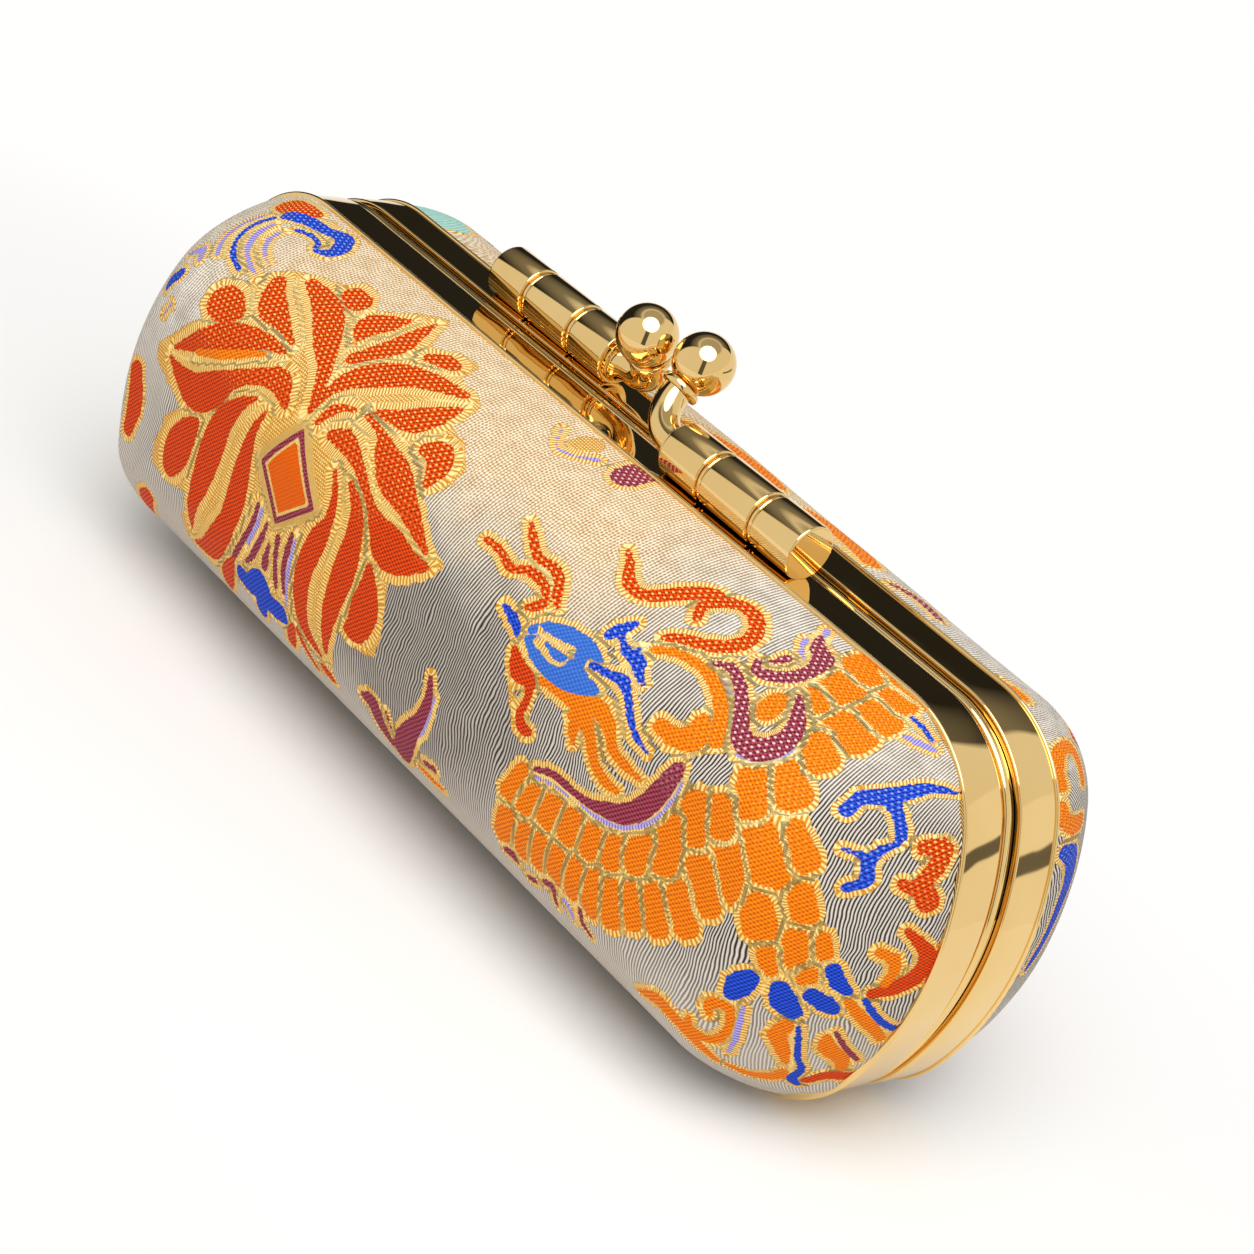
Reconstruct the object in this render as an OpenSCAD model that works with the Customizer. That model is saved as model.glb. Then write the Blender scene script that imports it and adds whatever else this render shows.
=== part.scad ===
// Brocade jewellery case: two padded half shells in polished metal bands,
// hinged along the bottom and closed by a two-ball kiss clasp on top.
// The case stands on its hinge side. Front is -Y, the seam plane is y = 0.

/* [Case] */
// Length over the metal bands
case_l = 150; // [120:1:200]
// Height of the metal bands from bottom to top
case_h = 51.1; // [44:0.1:60]
// Radius of the four corners
corner_r = 15.7; // [11:0.1:18]
// Radius of the two bulged ends
end_r = 38.7; // [34:0.1:60]

/* [Metal bands] */
// Width of each band, from the seam channel to its outer edge
band_w = 6.45; // [5.5:0.05:9]
// Thickness of the sheet metal
band_t = 0.8; // [0.5:0.05:1]
// Width of the channel between the two bands
seam_gap = 3.1; // [2.8:0.05:4]
// Width of the rolled lip at each outer edge
lip_w = 0.5; // [0.4:0.05:1.2]
// Height of the rolled lip above the band
lip_h = 0.3; // [0.2:0.05:0.8]
// Bevel on the edge beside the channel
edge_bevel = 0.25; // [0.1:0.05:0.4]

/* [Seam ring] */
// Radius of the half-round bead in the channel
bead_r = 0.6; // [0.3:0.05:0.8]
// Length of the flange that is soldered inside the front band
flange_w = 3.3; // [2:0.1:3.6]
// Reach of the centring tongue into the back band
tongue_l = 1.45; // [0.8:0.05:1.6]
// Thickness of the centring tongue
tongue_t = 0.5; // [0.3:0.05:0.7]
// Clearance between the tongue and the back band
tongue_clear = 0.35; // [0.2:0.05:0.5]

/* [Padded shells] */
// Depth of the brocade dome beyond the outer edge of its band
dome_d = 21; // [15:0.5:26]
// Roundness of the dome across the face
dome_face_n = 2.7; // [2:0.1:4]
// Roundness of the dome at its side
dome_side_n = 1.3; // [1:0.05:2]
// Thickness of the brocade
cloth_t = 0.5; // [0.3:0.05:0.7]
// Thickness of the wadding under the brocade
wad_t = 1.5; // [0.8:0.1:2.2]
// Thickness of the moulded shell
shell_t = 1.4; // [1:0.1:1.8]
// Thickness of the satin lining on its card
lining_t = 0.7; // [0.4:0.05:1]
// Fullness of the brocade over the edge of the band
roll_over = 0.5; // [0.3:0.05:0.6]

/* [Hinges] */
// Length of each hinge
hinge_l = 18; // [12:0.5:24]
// Distance from the end of the case to the outer end of a hinge
hinge_in = 23; // [21:0.5:31]
// Number of knuckles on each hinge
knuckles = 5; // [3, 5, 7]
// Radius of the hinge pin
pin_r = 0.6; // [0.4:0.05:0.7]
// Radial clearance of the pin in a knuckle
pin_clear = 0.05; // [0.02:0.01:0.09]
// Thickness of a hinge leaf
leaf_t = 0.6; // [0.4:0.05:0.8]
// Reach of a hinge leaf inside its band
leaf_reach = 3.3; // [2.4:0.1:3.6]
// End gap between two knuckles
knuckle_gap = 0.15; // [0.1:0.05:0.3]

/* [Clasp barrels] */
// Radius of the turned barrels
barrel_r = 3.5; // [3:0.1:4]
// Length of the inner and the outer barrel
barrel_l = 6.7; // [5:0.1:8]
// Length of the middle barrel
barrel_mid_l = 8.5; // [6:0.1:11]
// Width of the groove between two barrels
groove_w = 0.8; // [0.5:0.05:1.2]
// Depth of the spacer ring below the face of the barrels
groove_drop = 0.2; // [0.1:0.05:0.8]
// Distance of the barrel axis from the seam plane
barrel_y = 4.2; // [4:0.05:4.5]
// Depth of the flat that seats a barrel on its band
barrel_flat = 0.2; // [0.1:0.05:0.4]
// Chamfer on the ends of a barrel
barrel_chamfer = 0.3; // [0.1:0.05:0.5]
// Thickness of the closed end of the outer barrel
barrel_cap = 1; // [0.6:0.1:2]
// Radius of the rod through the barrels
rod_r = 1.5; // [1:0.1:2]

/* [Clasp balls] */
// Radius of the two balls
ball_r = 3.85; // [3.4:0.05:3.95]
// Gap between the two balls as they pass
ball_gap = 0.55; // [0.3:0.05:1]
// Place of that gap, right of the middle of the case
balls_x = 0.7; // [-1:0.1:1]
// Height of the front ball above its barrel axis, along its arm
front_rise = 9.5; // [9:0.1:10.5]
// Height of the back ball above its barrel axis, along its arm
back_rise = 8.7; // [8.4:0.1:9.2]
// Straight length of the front arm beside its barrel
front_run = 1.45; // [1:0.05:3]
// Straight length of the back arm beside its barrel
back_run = 2.9; // [1:0.05:4]
// Lean of each arm over the seam, in degrees
arm_lean = 35; // [25:1:45]
// Radius of the curved arm
arm_r = 1.9; // [1.5:0.05:2.2]
// Radius of the collar under a ball
collar_r = 2.6; // [2.3:0.05:3]
// Thickness of the collar
collar_t = 1; // [0.7:0.05:1.3]
// Radius of the flange where the arm leaves the barrel
foot_r = 2.9; // [2.5:0.05:3]
// Thickness of that flange
foot_t = 0.45; // [0.3:0.05:0.6]

/* [Hidden] */
$fn = 64;

// Pieces that are glued or soldered lie this far apart
seat = 0.04;
// Cuts run this far past a surface
overrun = 1;

// Segments of an end arc and of a corner arc
end_steps = 6;
corner_steps = 6;

// Half sizes of the outline, and the height of its middle above the ground
half_l = case_l / 2;
half_h = case_h / 2;
mid_z = lip_h + half_h;
band_top = lip_h + case_h;

// Distances from the seam plane
seam_d = seam_gap / 2;
edge_d = seam_d + band_w;
rim_d = seam_d + flange_w + 3 * pin_clear + seat;
front_lining_d = seam_d + edge_bevel + seat;
back_lining_d = seam_d + tongue_l + tongue_clear;

// Insets from the outside of the bands, one layer inside the other
tuck_i = band_t + seat;
shell_i = tuck_i + cloth_t + seat;
lining_i = shell_i + shell_t + seat;
inner_i = lining_i + lining_t;
cover_i = band_t - roll_over;
wad_i = cover_i + cloth_t + seat;
ring_i = band_t + tongue_clear + tongue_t;

// Depths of the domes beyond the band edge, one layer inside the other
wad_d = dome_d - cloth_t - seat;
shell_d = wad_d - wad_t - seat;
lining_d = shell_d - shell_t - seat;
inner_d = lining_d - lining_t;

// The dome's rings: shares of the way in that the corner radius allows, then of the crown
inset_share = 0.9;
side_shares = [0, 0.04, 0.15, 0.35, 0.65, 1];
crown_shares = [0.7, 0.35, 0.05];
plateau_share = 1 - inset_share * (corner_r - inner_i) / (half_h - inner_i);

// Hinge
hinge_x = half_l - hinge_in;
knuckle_r = seam_d - knuckle_gap - pin_clear * 2;
hinge_z = lip_h + knuckle_r;
knuckle_pitch = (hinge_l + knuckle_gap) / knuckles;
knuckle_l = knuckle_pitch - knuckle_gap;
leaf_z = lip_h + band_t + seat;

// Clasp
barrel_z = band_top + barrel_r - barrel_flat;
rod_bore_r = rod_r + seat;
stack_l = 2 * barrel_l + barrel_mid_l + 2 * groove_w;
ball_seat_share = 0.65;
front_bend_r = front_rise - ball_r - ball_seat_share * collar_t;
back_bend_r = back_rise - ball_r - ball_seat_share * collar_t;
root_share = 0.8;

// Places of the balls and of the barrels, from the middle of the case
front_ball_x = balls_x + ball_gap / 2 + ball_r;
back_ball_x = -balls_x + ball_gap / 2 + ball_r;
front_stack_x = front_ball_x + front_bend_r + front_run;
back_stack_x = back_ball_x + back_bend_r + back_run;
middle_from = barrel_l + groove_w;
outer_from = middle_from + barrel_mid_l + groove_w;

// Points of an arc, as seen from its centre, without its last one
function arc(cx, cy, r, from, to, steps) = [
    for (i = [0 : steps - 1])
        let (a = from + (to - from) * i / steps)
        [cx + r * cos(a), cy + r * sin(a)]
];

// The outline of the case, moved inwards by an inset: end arcs, corner arcs, straight top and bottom
function outline(inset) =
    let (
        ex = half_l - end_r,
        cy = half_h - corner_r,
        cx = ex + sqrt(pow(end_r - corner_r, 2) - pow(cy, 2)),
        a = atan2(cy, cx - ex),
        quarter = concat(
            arc(ex, 0, end_r - inset, 0, a, end_steps / 2),
            arc(cx, cy, corner_r - inset, a, 90, corner_steps),
            [[cx, half_h - inset]]
        ),
        n = len(quarter)
    )
    concat(
        quarter,
        [for (i = [n - 1 : -1 : 0]) [-quarter[i][0], quarter[i][1]]],
        [for (i = [1 : n - 1]) [-quarter[i][0], -quarter[i][1]]],
        [for (i = [n - 1 : -1 : 1]) [quarter[i][0], -quarter[i][1]]]
    );

// One ring of points in front of the seam: a place is [inset, distance from the seam, scale]
function ring(place) = [
    for (p = outline(place[0]))
        [p[0] * place[2], -place[1], mid_z + p[1] * place[2]]
];

// Triangles between two neighbouring rings of n points
function strip(lower, upper, n) = [
    for (i = [0 : n - 1], half = [0, 1])
        let (k = (i + 1) % n)
        half == 0 ? [lower + i, lower + k, upper + k] : [lower + i, upper + k, upper + i]
];

// A closed profile of [inset, distance] carried round the outline
module band_sweep(profile) {
    n = len(outline(0));
    m = len(profile);
    points = [for (p = profile) each ring([p[0], p[1], 1])];
    faces = [for (j = [0 : m - 1]) each strip(j * n, ((j + 1) % m) * n, n)];
    polyhedron(points, faces);
}

// A cup between two lists of rings, both from the rim to the crown
module cup(outer, inner) {
    n = len(outline(0));
    places = concat([for (i = [len(inner) - 1 : -1 : 0]) inner[i]], outer);
    m = len(places);
    points = [for (p = places) each ring(p)];
    faces = concat(
        [[for (i = [n - 1 : -1 : 0]) i]],
        [for (j = [0 : m - 2]) each strip(j * n, (j + 1) * n, n)],
        [[for (i = [0 : n - 1]) (m - 1) * n + i]]
    );
    polyhedron(points, faces);
}

// Height of the dome, as a share of its depth, where the half height has shrunk to a share
function dome_share(k) = pow(1 - pow(k, dome_face_n), 1 / dome_side_n);

// Rings of one dome surface from its rim to its crown
function dome(inset, depth) =
    let (reach = half_h - inset, k_in = plateau_share)
    concat(
        [for (s = side_shares)
            let (k = 1 - s * (1 - k_in))
            [inset + (1 - k) * reach, edge_d + depth * dome_share(k), 1]],
        [for (s = crown_shares)
            [inset + (1 - k_in) * reach, edge_d + depth * dome_share(s * k_in), s]]
    );

// The back half is the front half turned over the seam
module at_back() {
    mirror([0, 1, 0]) children();
}

// Metal band with its rolled lip and bevelled seam edge
module band() {
    top_a = 60;
    lip = [
        for (a = [0, top_a / 2, top_a, 180 - top_a, 180 - top_a / 2, 180])
            [-lip_h * sin(a) / sin(top_a), edge_d - lip_w / 2 + lip_w / 2 * cos(a)]
    ];
    color("gold")
        band_sweep(concat(
            lip,
            [[0, seam_d + edge_bevel], [edge_bevel, seam_d], [band_t, seam_d], [band_t, edge_d]]
        ));
}

// Bead in the channel, with a flange in the front band and a tongue in the back band
module seam_ring() {
    floor_i = band_t + seat;
    tongue_i = band_t + tongue_clear;
    tip_d = seam_d + tongue_l;
    bead = [for (a = [0, 45, 90, 135, 180]) [floor_i - bead_r * sin(a), bead_r * cos(a)]];
    color("goldenrod")
        difference() {
            band_sweep(concat(
                [[floor_i, seam_d + flange_w]],
                bead,
                [[floor_i, -seam_d + edge_bevel], [tongue_i, -seam_d], [tongue_i, -tip_d]],
                [[ring_i, -tip_d], [ring_i, seam_d + flange_w]]
            ));
            for (side = [-1, 1])
                translate([side * (hinge_x - hinge_l / 2), -flange_w / 2 + tongue_l / 2, 0])
                    cube([
                        hinge_l + 4 * knuckle_gap,
                        seam_gap + flange_w + tongue_l + overrun,
                        2 * (lip_h + ring_i + overrun)
                    ], center = true);
        }
}

// Moulded shell: a rim that slides into the band, and the dome
module shell() {
    rim_outer = [[shell_i, rim_d, 1], [shell_i, edge_d, 1]];
    rim_inner = [[lining_i - seat, rim_d, 1]];
    color("dimgray")
        cup(concat(rim_outer, dome(wad_i + wad_t + seat, shell_d)),
            concat(rim_inner, dome(lining_i - seat, lining_d + seat)));
}

// Wadding over the shell
module wadding() {
    color("white")
        cup([for (p = dome(wad_i, wad_d)) [p[0], p[1] + seat, p[2]]],
            [for (p = dome(wad_i + wad_t, shell_d + seat)) [p[0], p[1] + seat, p[2]]]);
}

// Brocade over the wadding, tucked between the shell and the band
module cover() {
    rim_outer = [[tuck_i, rim_d, 1], [tuck_i, edge_d + seat, 1]];
    rim_inner = [[tuck_i + cloth_t, rim_d, 1], [tuck_i + cloth_t, edge_d + seat, 1]];
    lift = 2 * seat;
    color("lightgray")
        cup(concat(rim_outer, [for (p = dome(cover_i, dome_d)) [p[0], p[1] + lift, p[2]]]),
            concat(rim_inner, [for (p = dome(wad_i - seat, wad_d + seat)) [p[0], p[1] + lift, p[2]]]));
}

// Satin lining on a thin card, up to the given distance from the seam
module lining(rim) {
    color("wheat")
        cup(concat([[lining_i, rim, 1]], dome(lining_i, lining_d)),
            concat([[inner_i, rim, 1]], dome(inner_i, inner_d)));
}

// A cylinder along X between two places
module rod_x(from, to, r) {
    translate([from, 0, 0])
        rotate([0, 90, 0])
            cylinder(h = to - from, r = r);
}

// One leaf of a hinge in front of the seam, with every second knuckle from the given one
module hinge_leaf(side, first) {
    x0 = side * (hinge_x - hinge_l / 2) - hinge_l / 2;
    plate_y = -seam_d - leaf_reach;
    free_y = -knuckle_r - knuckle_gap;
    color("goldenrod")
        difference() {
            union() {
                translate([x0, plate_y, leaf_z])
                    cube([hinge_l, free_y - plate_y, leaf_t]);
                for (i = [first : 2 : knuckles - 1])
                    translate([x0 + i * knuckle_pitch, 0, 0]) {
                        translate([0, plate_y, leaf_z])
                            cube([knuckle_l, -plate_y, leaf_t]);
                        translate([0, 0, hinge_z])
                            rod_x(0, knuckle_l, knuckle_r);
                    }
            }
            translate([x0, 0, hinge_z])
                rod_x(-overrun, hinge_l + overrun, pin_r + pin_clear);
        }
}

// Hinge pin
module hinge_pin(side) {
    x0 = side * (hinge_x - hinge_l / 2) - hinge_l / 2;
    color("darkgoldenrod")
        translate([x0, 0, hinge_z])
            rod_x(knuckle_gap, hinge_l - knuckle_gap, pin_r);
}

// Places the clasp's pieces on the front band, or turned about the middle on the back band
module on_band(back) {
    rotate([0, 0, back ? 180 : 0])
        translate([0, -barrel_y, barrel_z])
            children();
}

// What is filed away under a barrel or a ring, so that it seats flat on its band
module below_flat(from, len) {
    translate([from - overrun, -barrel_r - overrun, -2 * barrel_r + barrel_flat])
        cube([len + 2 * overrun, 2 * (barrel_r + overrun), barrel_r]);
}

// One turned barrel with a flat seat, closed at its outer end where a cap is given
module barrel(from, len, cap) {
    c = barrel_chamfer;
    color("gold")
        difference() {
            translate([from, 0, 0])
                rotate([0, 90, 0])
                    rotate_extrude()
                        polygon([
                            [0, 0], [barrel_r - c, 0], [barrel_r, c],
                            [barrel_r, len - c], [barrel_r - c, len], [0, len]
                        ]);
            rod_x(from - overrun, from + len - cap + (cap > 0 ? 0 : overrun), rod_bore_r);
            below_flat(from, len);
        }
}

// Spacer ring with a half-round rim, in the groove between two barrels
module spacer(from) {
    ring_r = barrel_r - groove_drop;
    bow_r = groove_w / 2 - seat;
    bow = [for (a = [0 : 30 : 180]) [ring_r - bow_r + bow_r * sin(a), bow_r - bow_r * cos(a)]];
    color("goldenrod")
        difference() {
            translate([from + seat, 0, 0])
                rotate([0, 90, 0])
                    rotate_extrude()
                        polygon(concat([[0, 0]], bow, [[0, 2 * bow_r]]));
            rod_x(from - overrun, from + groove_w + overrun, rod_bore_r);
            below_flat(from, groove_w);
        }
}

// Rod on which the barrels and rings are threaded
module rod(from) {
    color("darkgoldenrod")
        rod_x(from + seat, from + stack_l - barrel_cap - seat, rod_r);
}

// Curved arm: flange and domed root on the barrel, then a quarter bend up to the ball
module arm(from, ball_x, bend_r) {
    root_l = root_share * (from - ball_x - bend_r - foot_t);
    root = [
        for (a = [0, 30, 60, 90])
            [arm_r + (foot_r - arm_r) * (1 - sin(a)), foot_t + root_l * (1 - cos(a))]
    ];
    color("gold")
        rotate([-arm_lean, 0, 0]) {
            translate([from - seat, 0, 0])
                rotate([0, -90, 0])
                    rotate_extrude()
                        polygon(concat([[0, 0], [foot_r, 0]], root, [[0, foot_t + root_l]]));
            rod_x(ball_x + bend_r, from - foot_t, arm_r);
            translate([ball_x + bend_r, 0, bend_r])
                rotate([90, 0, 0])
                    rotate([0, 0, 180])
                        rotate_extrude(angle = 90)
                            translate([bend_r, 0])
                                circle(r = arm_r);
        }
}

// Collar between the arm and the ball, with a round seat
module collar(ball_x, bend_r, rise) {
    c = collar_t / 4;
    color("goldenrod")
        rotate([-arm_lean, 0, 0])
            difference() {
                translate([ball_x, 0, bend_r + seat])
                    rotate_extrude()
                        polygon([
                            [0, 0], [collar_r - c, 0], [collar_r, c],
                            [collar_r, collar_t - c], [collar_r - c, collar_t], [0, collar_t]
                        ]);
                translate([ball_x, 0, rise])
                    sphere(r = ball_r + seat);
            }
}

// Ball at the end of an arm
module ball(ball_x, rise) {
    color("gold")
        rotate([-arm_lean, 0, 0])
            translate([ball_x, 0, rise])
                sphere(r = ball_r);
}

band();  // front_band
at_back() band();  // back_band
seam_ring();
shell();  // front_shell
at_back() shell();  // back_shell
wadding();  // front_wadding
at_back() wadding();  // back_wadding
cover();  // front_cover
at_back() cover();  // back_cover
lining(front_lining_d);  // front_lining
at_back() lining(back_lining_d);  // back_lining
hinge_leaf(-1, 0);  // hinge_front_leaf_left
hinge_leaf(1, 0);  // hinge_front_leaf_right
at_back() hinge_leaf(-1, 1);  // hinge_back_leaf_left
at_back() hinge_leaf(1, 1);  // hinge_back_leaf_right
hinge_pin(-1);  // hinge_pin_left
hinge_pin(1);  // hinge_pin_right
on_band(false) rod(front_stack_x);  // front_clasp_rod
on_band(false) barrel(front_stack_x, barrel_l, 0);  // front_clasp_barrel_inner
on_band(false) barrel(front_stack_x + middle_from, barrel_mid_l, 0);  // front_clasp_barrel_middle
on_band(false) barrel(front_stack_x + outer_from, barrel_l, barrel_cap);  // front_clasp_barrel_outer
on_band(false) spacer(front_stack_x + barrel_l);  // front_clasp_ring_inner
on_band(false) spacer(front_stack_x + outer_from - groove_w);  // front_clasp_ring_outer
on_band(false) arm(front_stack_x, front_ball_x, front_bend_r);  // front_clasp_arm
on_band(false) collar(front_ball_x, front_bend_r, front_rise);  // front_clasp_collar
on_band(false) ball(front_ball_x, front_rise);  // front_clasp_ball
on_band(true) rod(back_stack_x);  // back_clasp_rod
on_band(true) barrel(back_stack_x, barrel_l, 0);  // back_clasp_barrel_inner
on_band(true) barrel(back_stack_x + middle_from, barrel_mid_l, 0);  // back_clasp_barrel_middle
on_band(true) barrel(back_stack_x + outer_from, barrel_l, barrel_cap);  // back_clasp_barrel_outer
on_band(true) spacer(back_stack_x + barrel_l);  // back_clasp_ring_inner
on_band(true) spacer(back_stack_x + outer_from - groove_w);  // back_clasp_ring_outer
on_band(true) arm(back_stack_x, back_ball_x, back_bend_r);  // back_clasp_arm
on_band(true) collar(back_ball_x, back_bend_r, back_rise);  // back_clasp_collar
on_band(true) ball(back_ball_x, back_rise);  // back_clasp_ball
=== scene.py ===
import math

import bmesh
import bpy
import numpy as np
from mathutils import Matrix, Vector


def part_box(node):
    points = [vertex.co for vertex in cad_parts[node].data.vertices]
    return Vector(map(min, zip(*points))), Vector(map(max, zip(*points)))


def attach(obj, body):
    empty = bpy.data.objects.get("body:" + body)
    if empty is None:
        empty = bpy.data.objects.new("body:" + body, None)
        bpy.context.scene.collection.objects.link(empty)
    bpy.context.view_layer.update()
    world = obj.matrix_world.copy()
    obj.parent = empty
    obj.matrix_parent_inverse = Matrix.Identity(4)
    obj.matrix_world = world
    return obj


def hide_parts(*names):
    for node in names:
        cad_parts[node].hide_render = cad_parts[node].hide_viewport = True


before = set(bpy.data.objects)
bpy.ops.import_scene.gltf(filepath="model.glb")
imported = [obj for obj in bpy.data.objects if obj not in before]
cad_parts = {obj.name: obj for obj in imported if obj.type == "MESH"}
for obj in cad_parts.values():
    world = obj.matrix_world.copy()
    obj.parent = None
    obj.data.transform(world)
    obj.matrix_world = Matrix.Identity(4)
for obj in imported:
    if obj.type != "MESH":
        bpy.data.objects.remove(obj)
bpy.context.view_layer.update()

MM = 0.001

# The camera stands to the right and in front of the case and looks down on it.
# The picture is turned a little, so the case seems to lean back in it.
CAMERA_AZIMUTH, CAMERA_ELEVATION, CAMERA_ROLL = (math.radians(a) for a in (40.68, 24.08, 22.37))
CAMERA_DISTANCE, CAMERA_RIGHT, CAMERA_UP = 380.5 * MM, 16.35 * MM, 19.07 * MM
CAMERA_BASE = Vector((0, 0, 0.3 * MM))
PICTURE_PX, FOCAL_PX, SENSOR_MM = 1254, 3007.8, 36

away = Vector((
    math.sin(CAMERA_AZIMUTH) * math.cos(CAMERA_ELEVATION),
    -math.cos(CAMERA_AZIMUTH) * math.cos(CAMERA_ELEVATION),
    math.sin(CAMERA_ELEVATION),
))
level = Vector((math.cos(CAMERA_AZIMUTH), math.sin(CAMERA_AZIMUTH), 0))
upright = away.cross(level)
picture_right = level * math.cos(CAMERA_ROLL) + upright * math.sin(CAMERA_ROLL)
picture_up = upright * math.cos(CAMERA_ROLL) - level * math.sin(CAMERA_ROLL)
camera = bpy.data.objects.new("camera", bpy.data.cameras.new("camera"))
camera.data.sensor_width = SENSOR_MM
camera.data.lens = SENSOR_MM * FOCAL_PX / PICTURE_PX
camera.data.clip_start = 10 * MM
place = CAMERA_BASE + picture_right * CAMERA_RIGHT + picture_up * CAMERA_UP + away * CAMERA_DISTANCE
turn = Matrix((picture_right, picture_up, away)).transposed().to_4x4()
camera.matrix_world = Matrix.Translation(place) @ turn
bpy.context.collection.objects.link(camera)
bpy.context.scene.camera = camera

# The two bands are strips of gilt brass, bent round the outline of the case.
# Each has a rolled lip where it meets the brocade and a bevelled edge at the seam.
# They are polished to a mirror, and hand polishing has left them very slightly wavy.
band_low, band_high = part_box("front_band")
LIP_H = 0.3
LIP_W = 0.5
CORNER_R = 15.7
END_R = 38.7
HALF_L = band_high.x / MM - LIP_H
HALF_H = (band_high.z - band_low.z) / MM / 2 - LIP_H
MID_Z = (band_high.z + band_low.z) / MM / 2
EDGE_D = -band_low.y / MM
SEAM_D = -band_high.y / MM
SHEET_T = 0.8
EDGE_BEVEL = 0.25
OUTLINE_POINTS = 520

END_X = HALF_L - END_R
CORNER_Z = HALF_H - CORNER_R
CORNER_X = END_X + math.sqrt((END_R - CORNER_R) ** 2 - CORNER_Z ** 2)
END_TURN = math.atan2(CORNER_Z, CORNER_X - END_X)
END_ARC = END_R * END_TURN
CORNER_ARC = CORNER_R * (math.pi / 2 - END_TURN)
QUARTER = END_ARC + CORNER_ARC + CORNER_X


def outline(count):
    """Evenly spaced points of the outline in the plane of the case, and its outward normals.
    A quarter is an end arc, a corner arc and half a straight side; the others mirror it."""
    along = (np.arange(count) + 0.5) / count * 4 * QUARTER
    quarter = (along // QUARTER).astype(int)
    t = along % QUARTER
    t = np.where(quarter % 2, QUARTER - t, t)
    angle = np.clip(t / END_R, 0, END_TURN) + np.clip((t - END_ARC) / CORNER_R, 0, math.pi / 2 - END_TURN)
    x = np.where(t < END_ARC, END_X + END_R * np.cos(angle), CORNER_X + CORNER_R * np.cos(angle))
    x = x - np.clip(t - END_ARC - CORNER_ARC, 0, None)
    z = np.where(t < END_ARC, END_R * np.sin(angle), CORNER_Z + CORNER_R * np.sin(angle))
    side_x = np.where((quarter == 0) | (quarter == 3), 1, -1)
    side_z = np.where(quarter < 2, 1, -1)
    points = np.stack([side_x * x, side_z * z], 1)
    normals = np.stack([side_x * np.cos(angle), side_z * np.sin(angle)], 1)
    return points, normals


def rings(places, count, side=-1):
    """The outline moved inwards by an inset and set at a distance from the seam, for each
    (inset, distance) place. side is -1 in front of the seam and 1 behind it."""
    points, normals = outline(count)
    places = np.asarray(places, float)
    flat = points[None] - places[:, 0, None, None] * normals[None]
    y = np.broadcast_to(side * places[:, 1, None], flat.shape[:2])
    return np.stack([flat[..., 0], y, MID_Z + flat[..., 1]], -1)


def piece_from_grid(name, grid, close_rows=False, close_columns=True, sharp=35, marks=None):
    """A mesh of quads over a grid of points in millimetres, joined up where a direction closes.
    Doubled points are welded, and the faces are turned to point out of the volume.
    marks holds more numbers for each point, which the material can read by their names."""
    rows, columns = grid.shape[:2]
    r = np.arange(rows if close_rows else rows - 1)[:, None]
    c = np.arange(columns if close_columns else columns - 1)[None]
    r_next, c_next = (r + 1) % rows, (c + 1) % columns
    corners = [r * columns + c, r * columns + c_next, r_next * columns + c_next, r_next * columns + c]
    quads = np.stack(np.broadcast_arrays(*corners), -1).reshape(-1, 4)
    points = grid.reshape(-1, 3) * MM
    a, b, c, d = (points[quads[:, k]] for k in range(4))
    volume = (np.cross(a, b) * c).sum() + (np.cross(a, c) * d).sum()
    quads = quads if volume > 0 else quads[:, ::-1]
    mesh = bpy.data.meshes.new(name)
    mesh.from_pydata(points.tolist(), [], quads.tolist())
    for mark, values in (marks or {}).items():
        numbers = mesh.attributes.new(mark, "FLOAT", "POINT").data
        numbers.foreach_set("value", values.ravel().astype(np.float32))
    welded = bmesh.new()
    welded.from_mesh(mesh)
    bmesh.ops.remove_doubles(welded, verts=welded.verts, dist=1e-7)
    welded.to_mesh(mesh)
    welded.free()
    mesh.shade_smooth()
    mesh.set_sharp_from_angle(angle=math.radians(sharp))
    piece = bpy.data.objects.new(name, mesh)
    bpy.context.collection.objects.link(piece)
    return piece


class Value:
    """One output of a shader node. Arithmetic on it adds the Math nodes that work it out."""

    def __init__(self, graph, socket):
        self.graph = graph
        self.socket = socket

    def math(self, operation, *others, clamp=False):
        values = dict(enumerate((self, *others)))
        return self.graph.node("ShaderNodeMath", {"operation": operation, "use_clamp": clamp}, values)

    def __add__(self, other):
        return self.math("ADD", other)

    def __sub__(self, other):
        return self.math("SUBTRACT", other)

    def __mul__(self, other):
        return self.math("MULTIPLY", other)

    def __truediv__(self, other):
        return self.math("DIVIDE", other)

    def __rsub__(self, other):
        return self.graph.node("ShaderNodeMath", {"operation": "SUBTRACT"}, {0: other, 1: self})

    __radd__ = __add__
    __rmul__ = __mul__

    def clamped(self):
        return self.math("ADD", 0, clamp=True)

    def wave(self):
        """A smooth wave from 0 to 1 that repeats whenever this value grows by 1."""
        return (self * math.tau).math("SINE") * 0.5 + 0.5

    def above(self, edge, soft):
        """1 where this value is above the edge and 0 where it is below, with a soft change."""
        return ((self - edge) / soft + 0.5).clamped()


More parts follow.
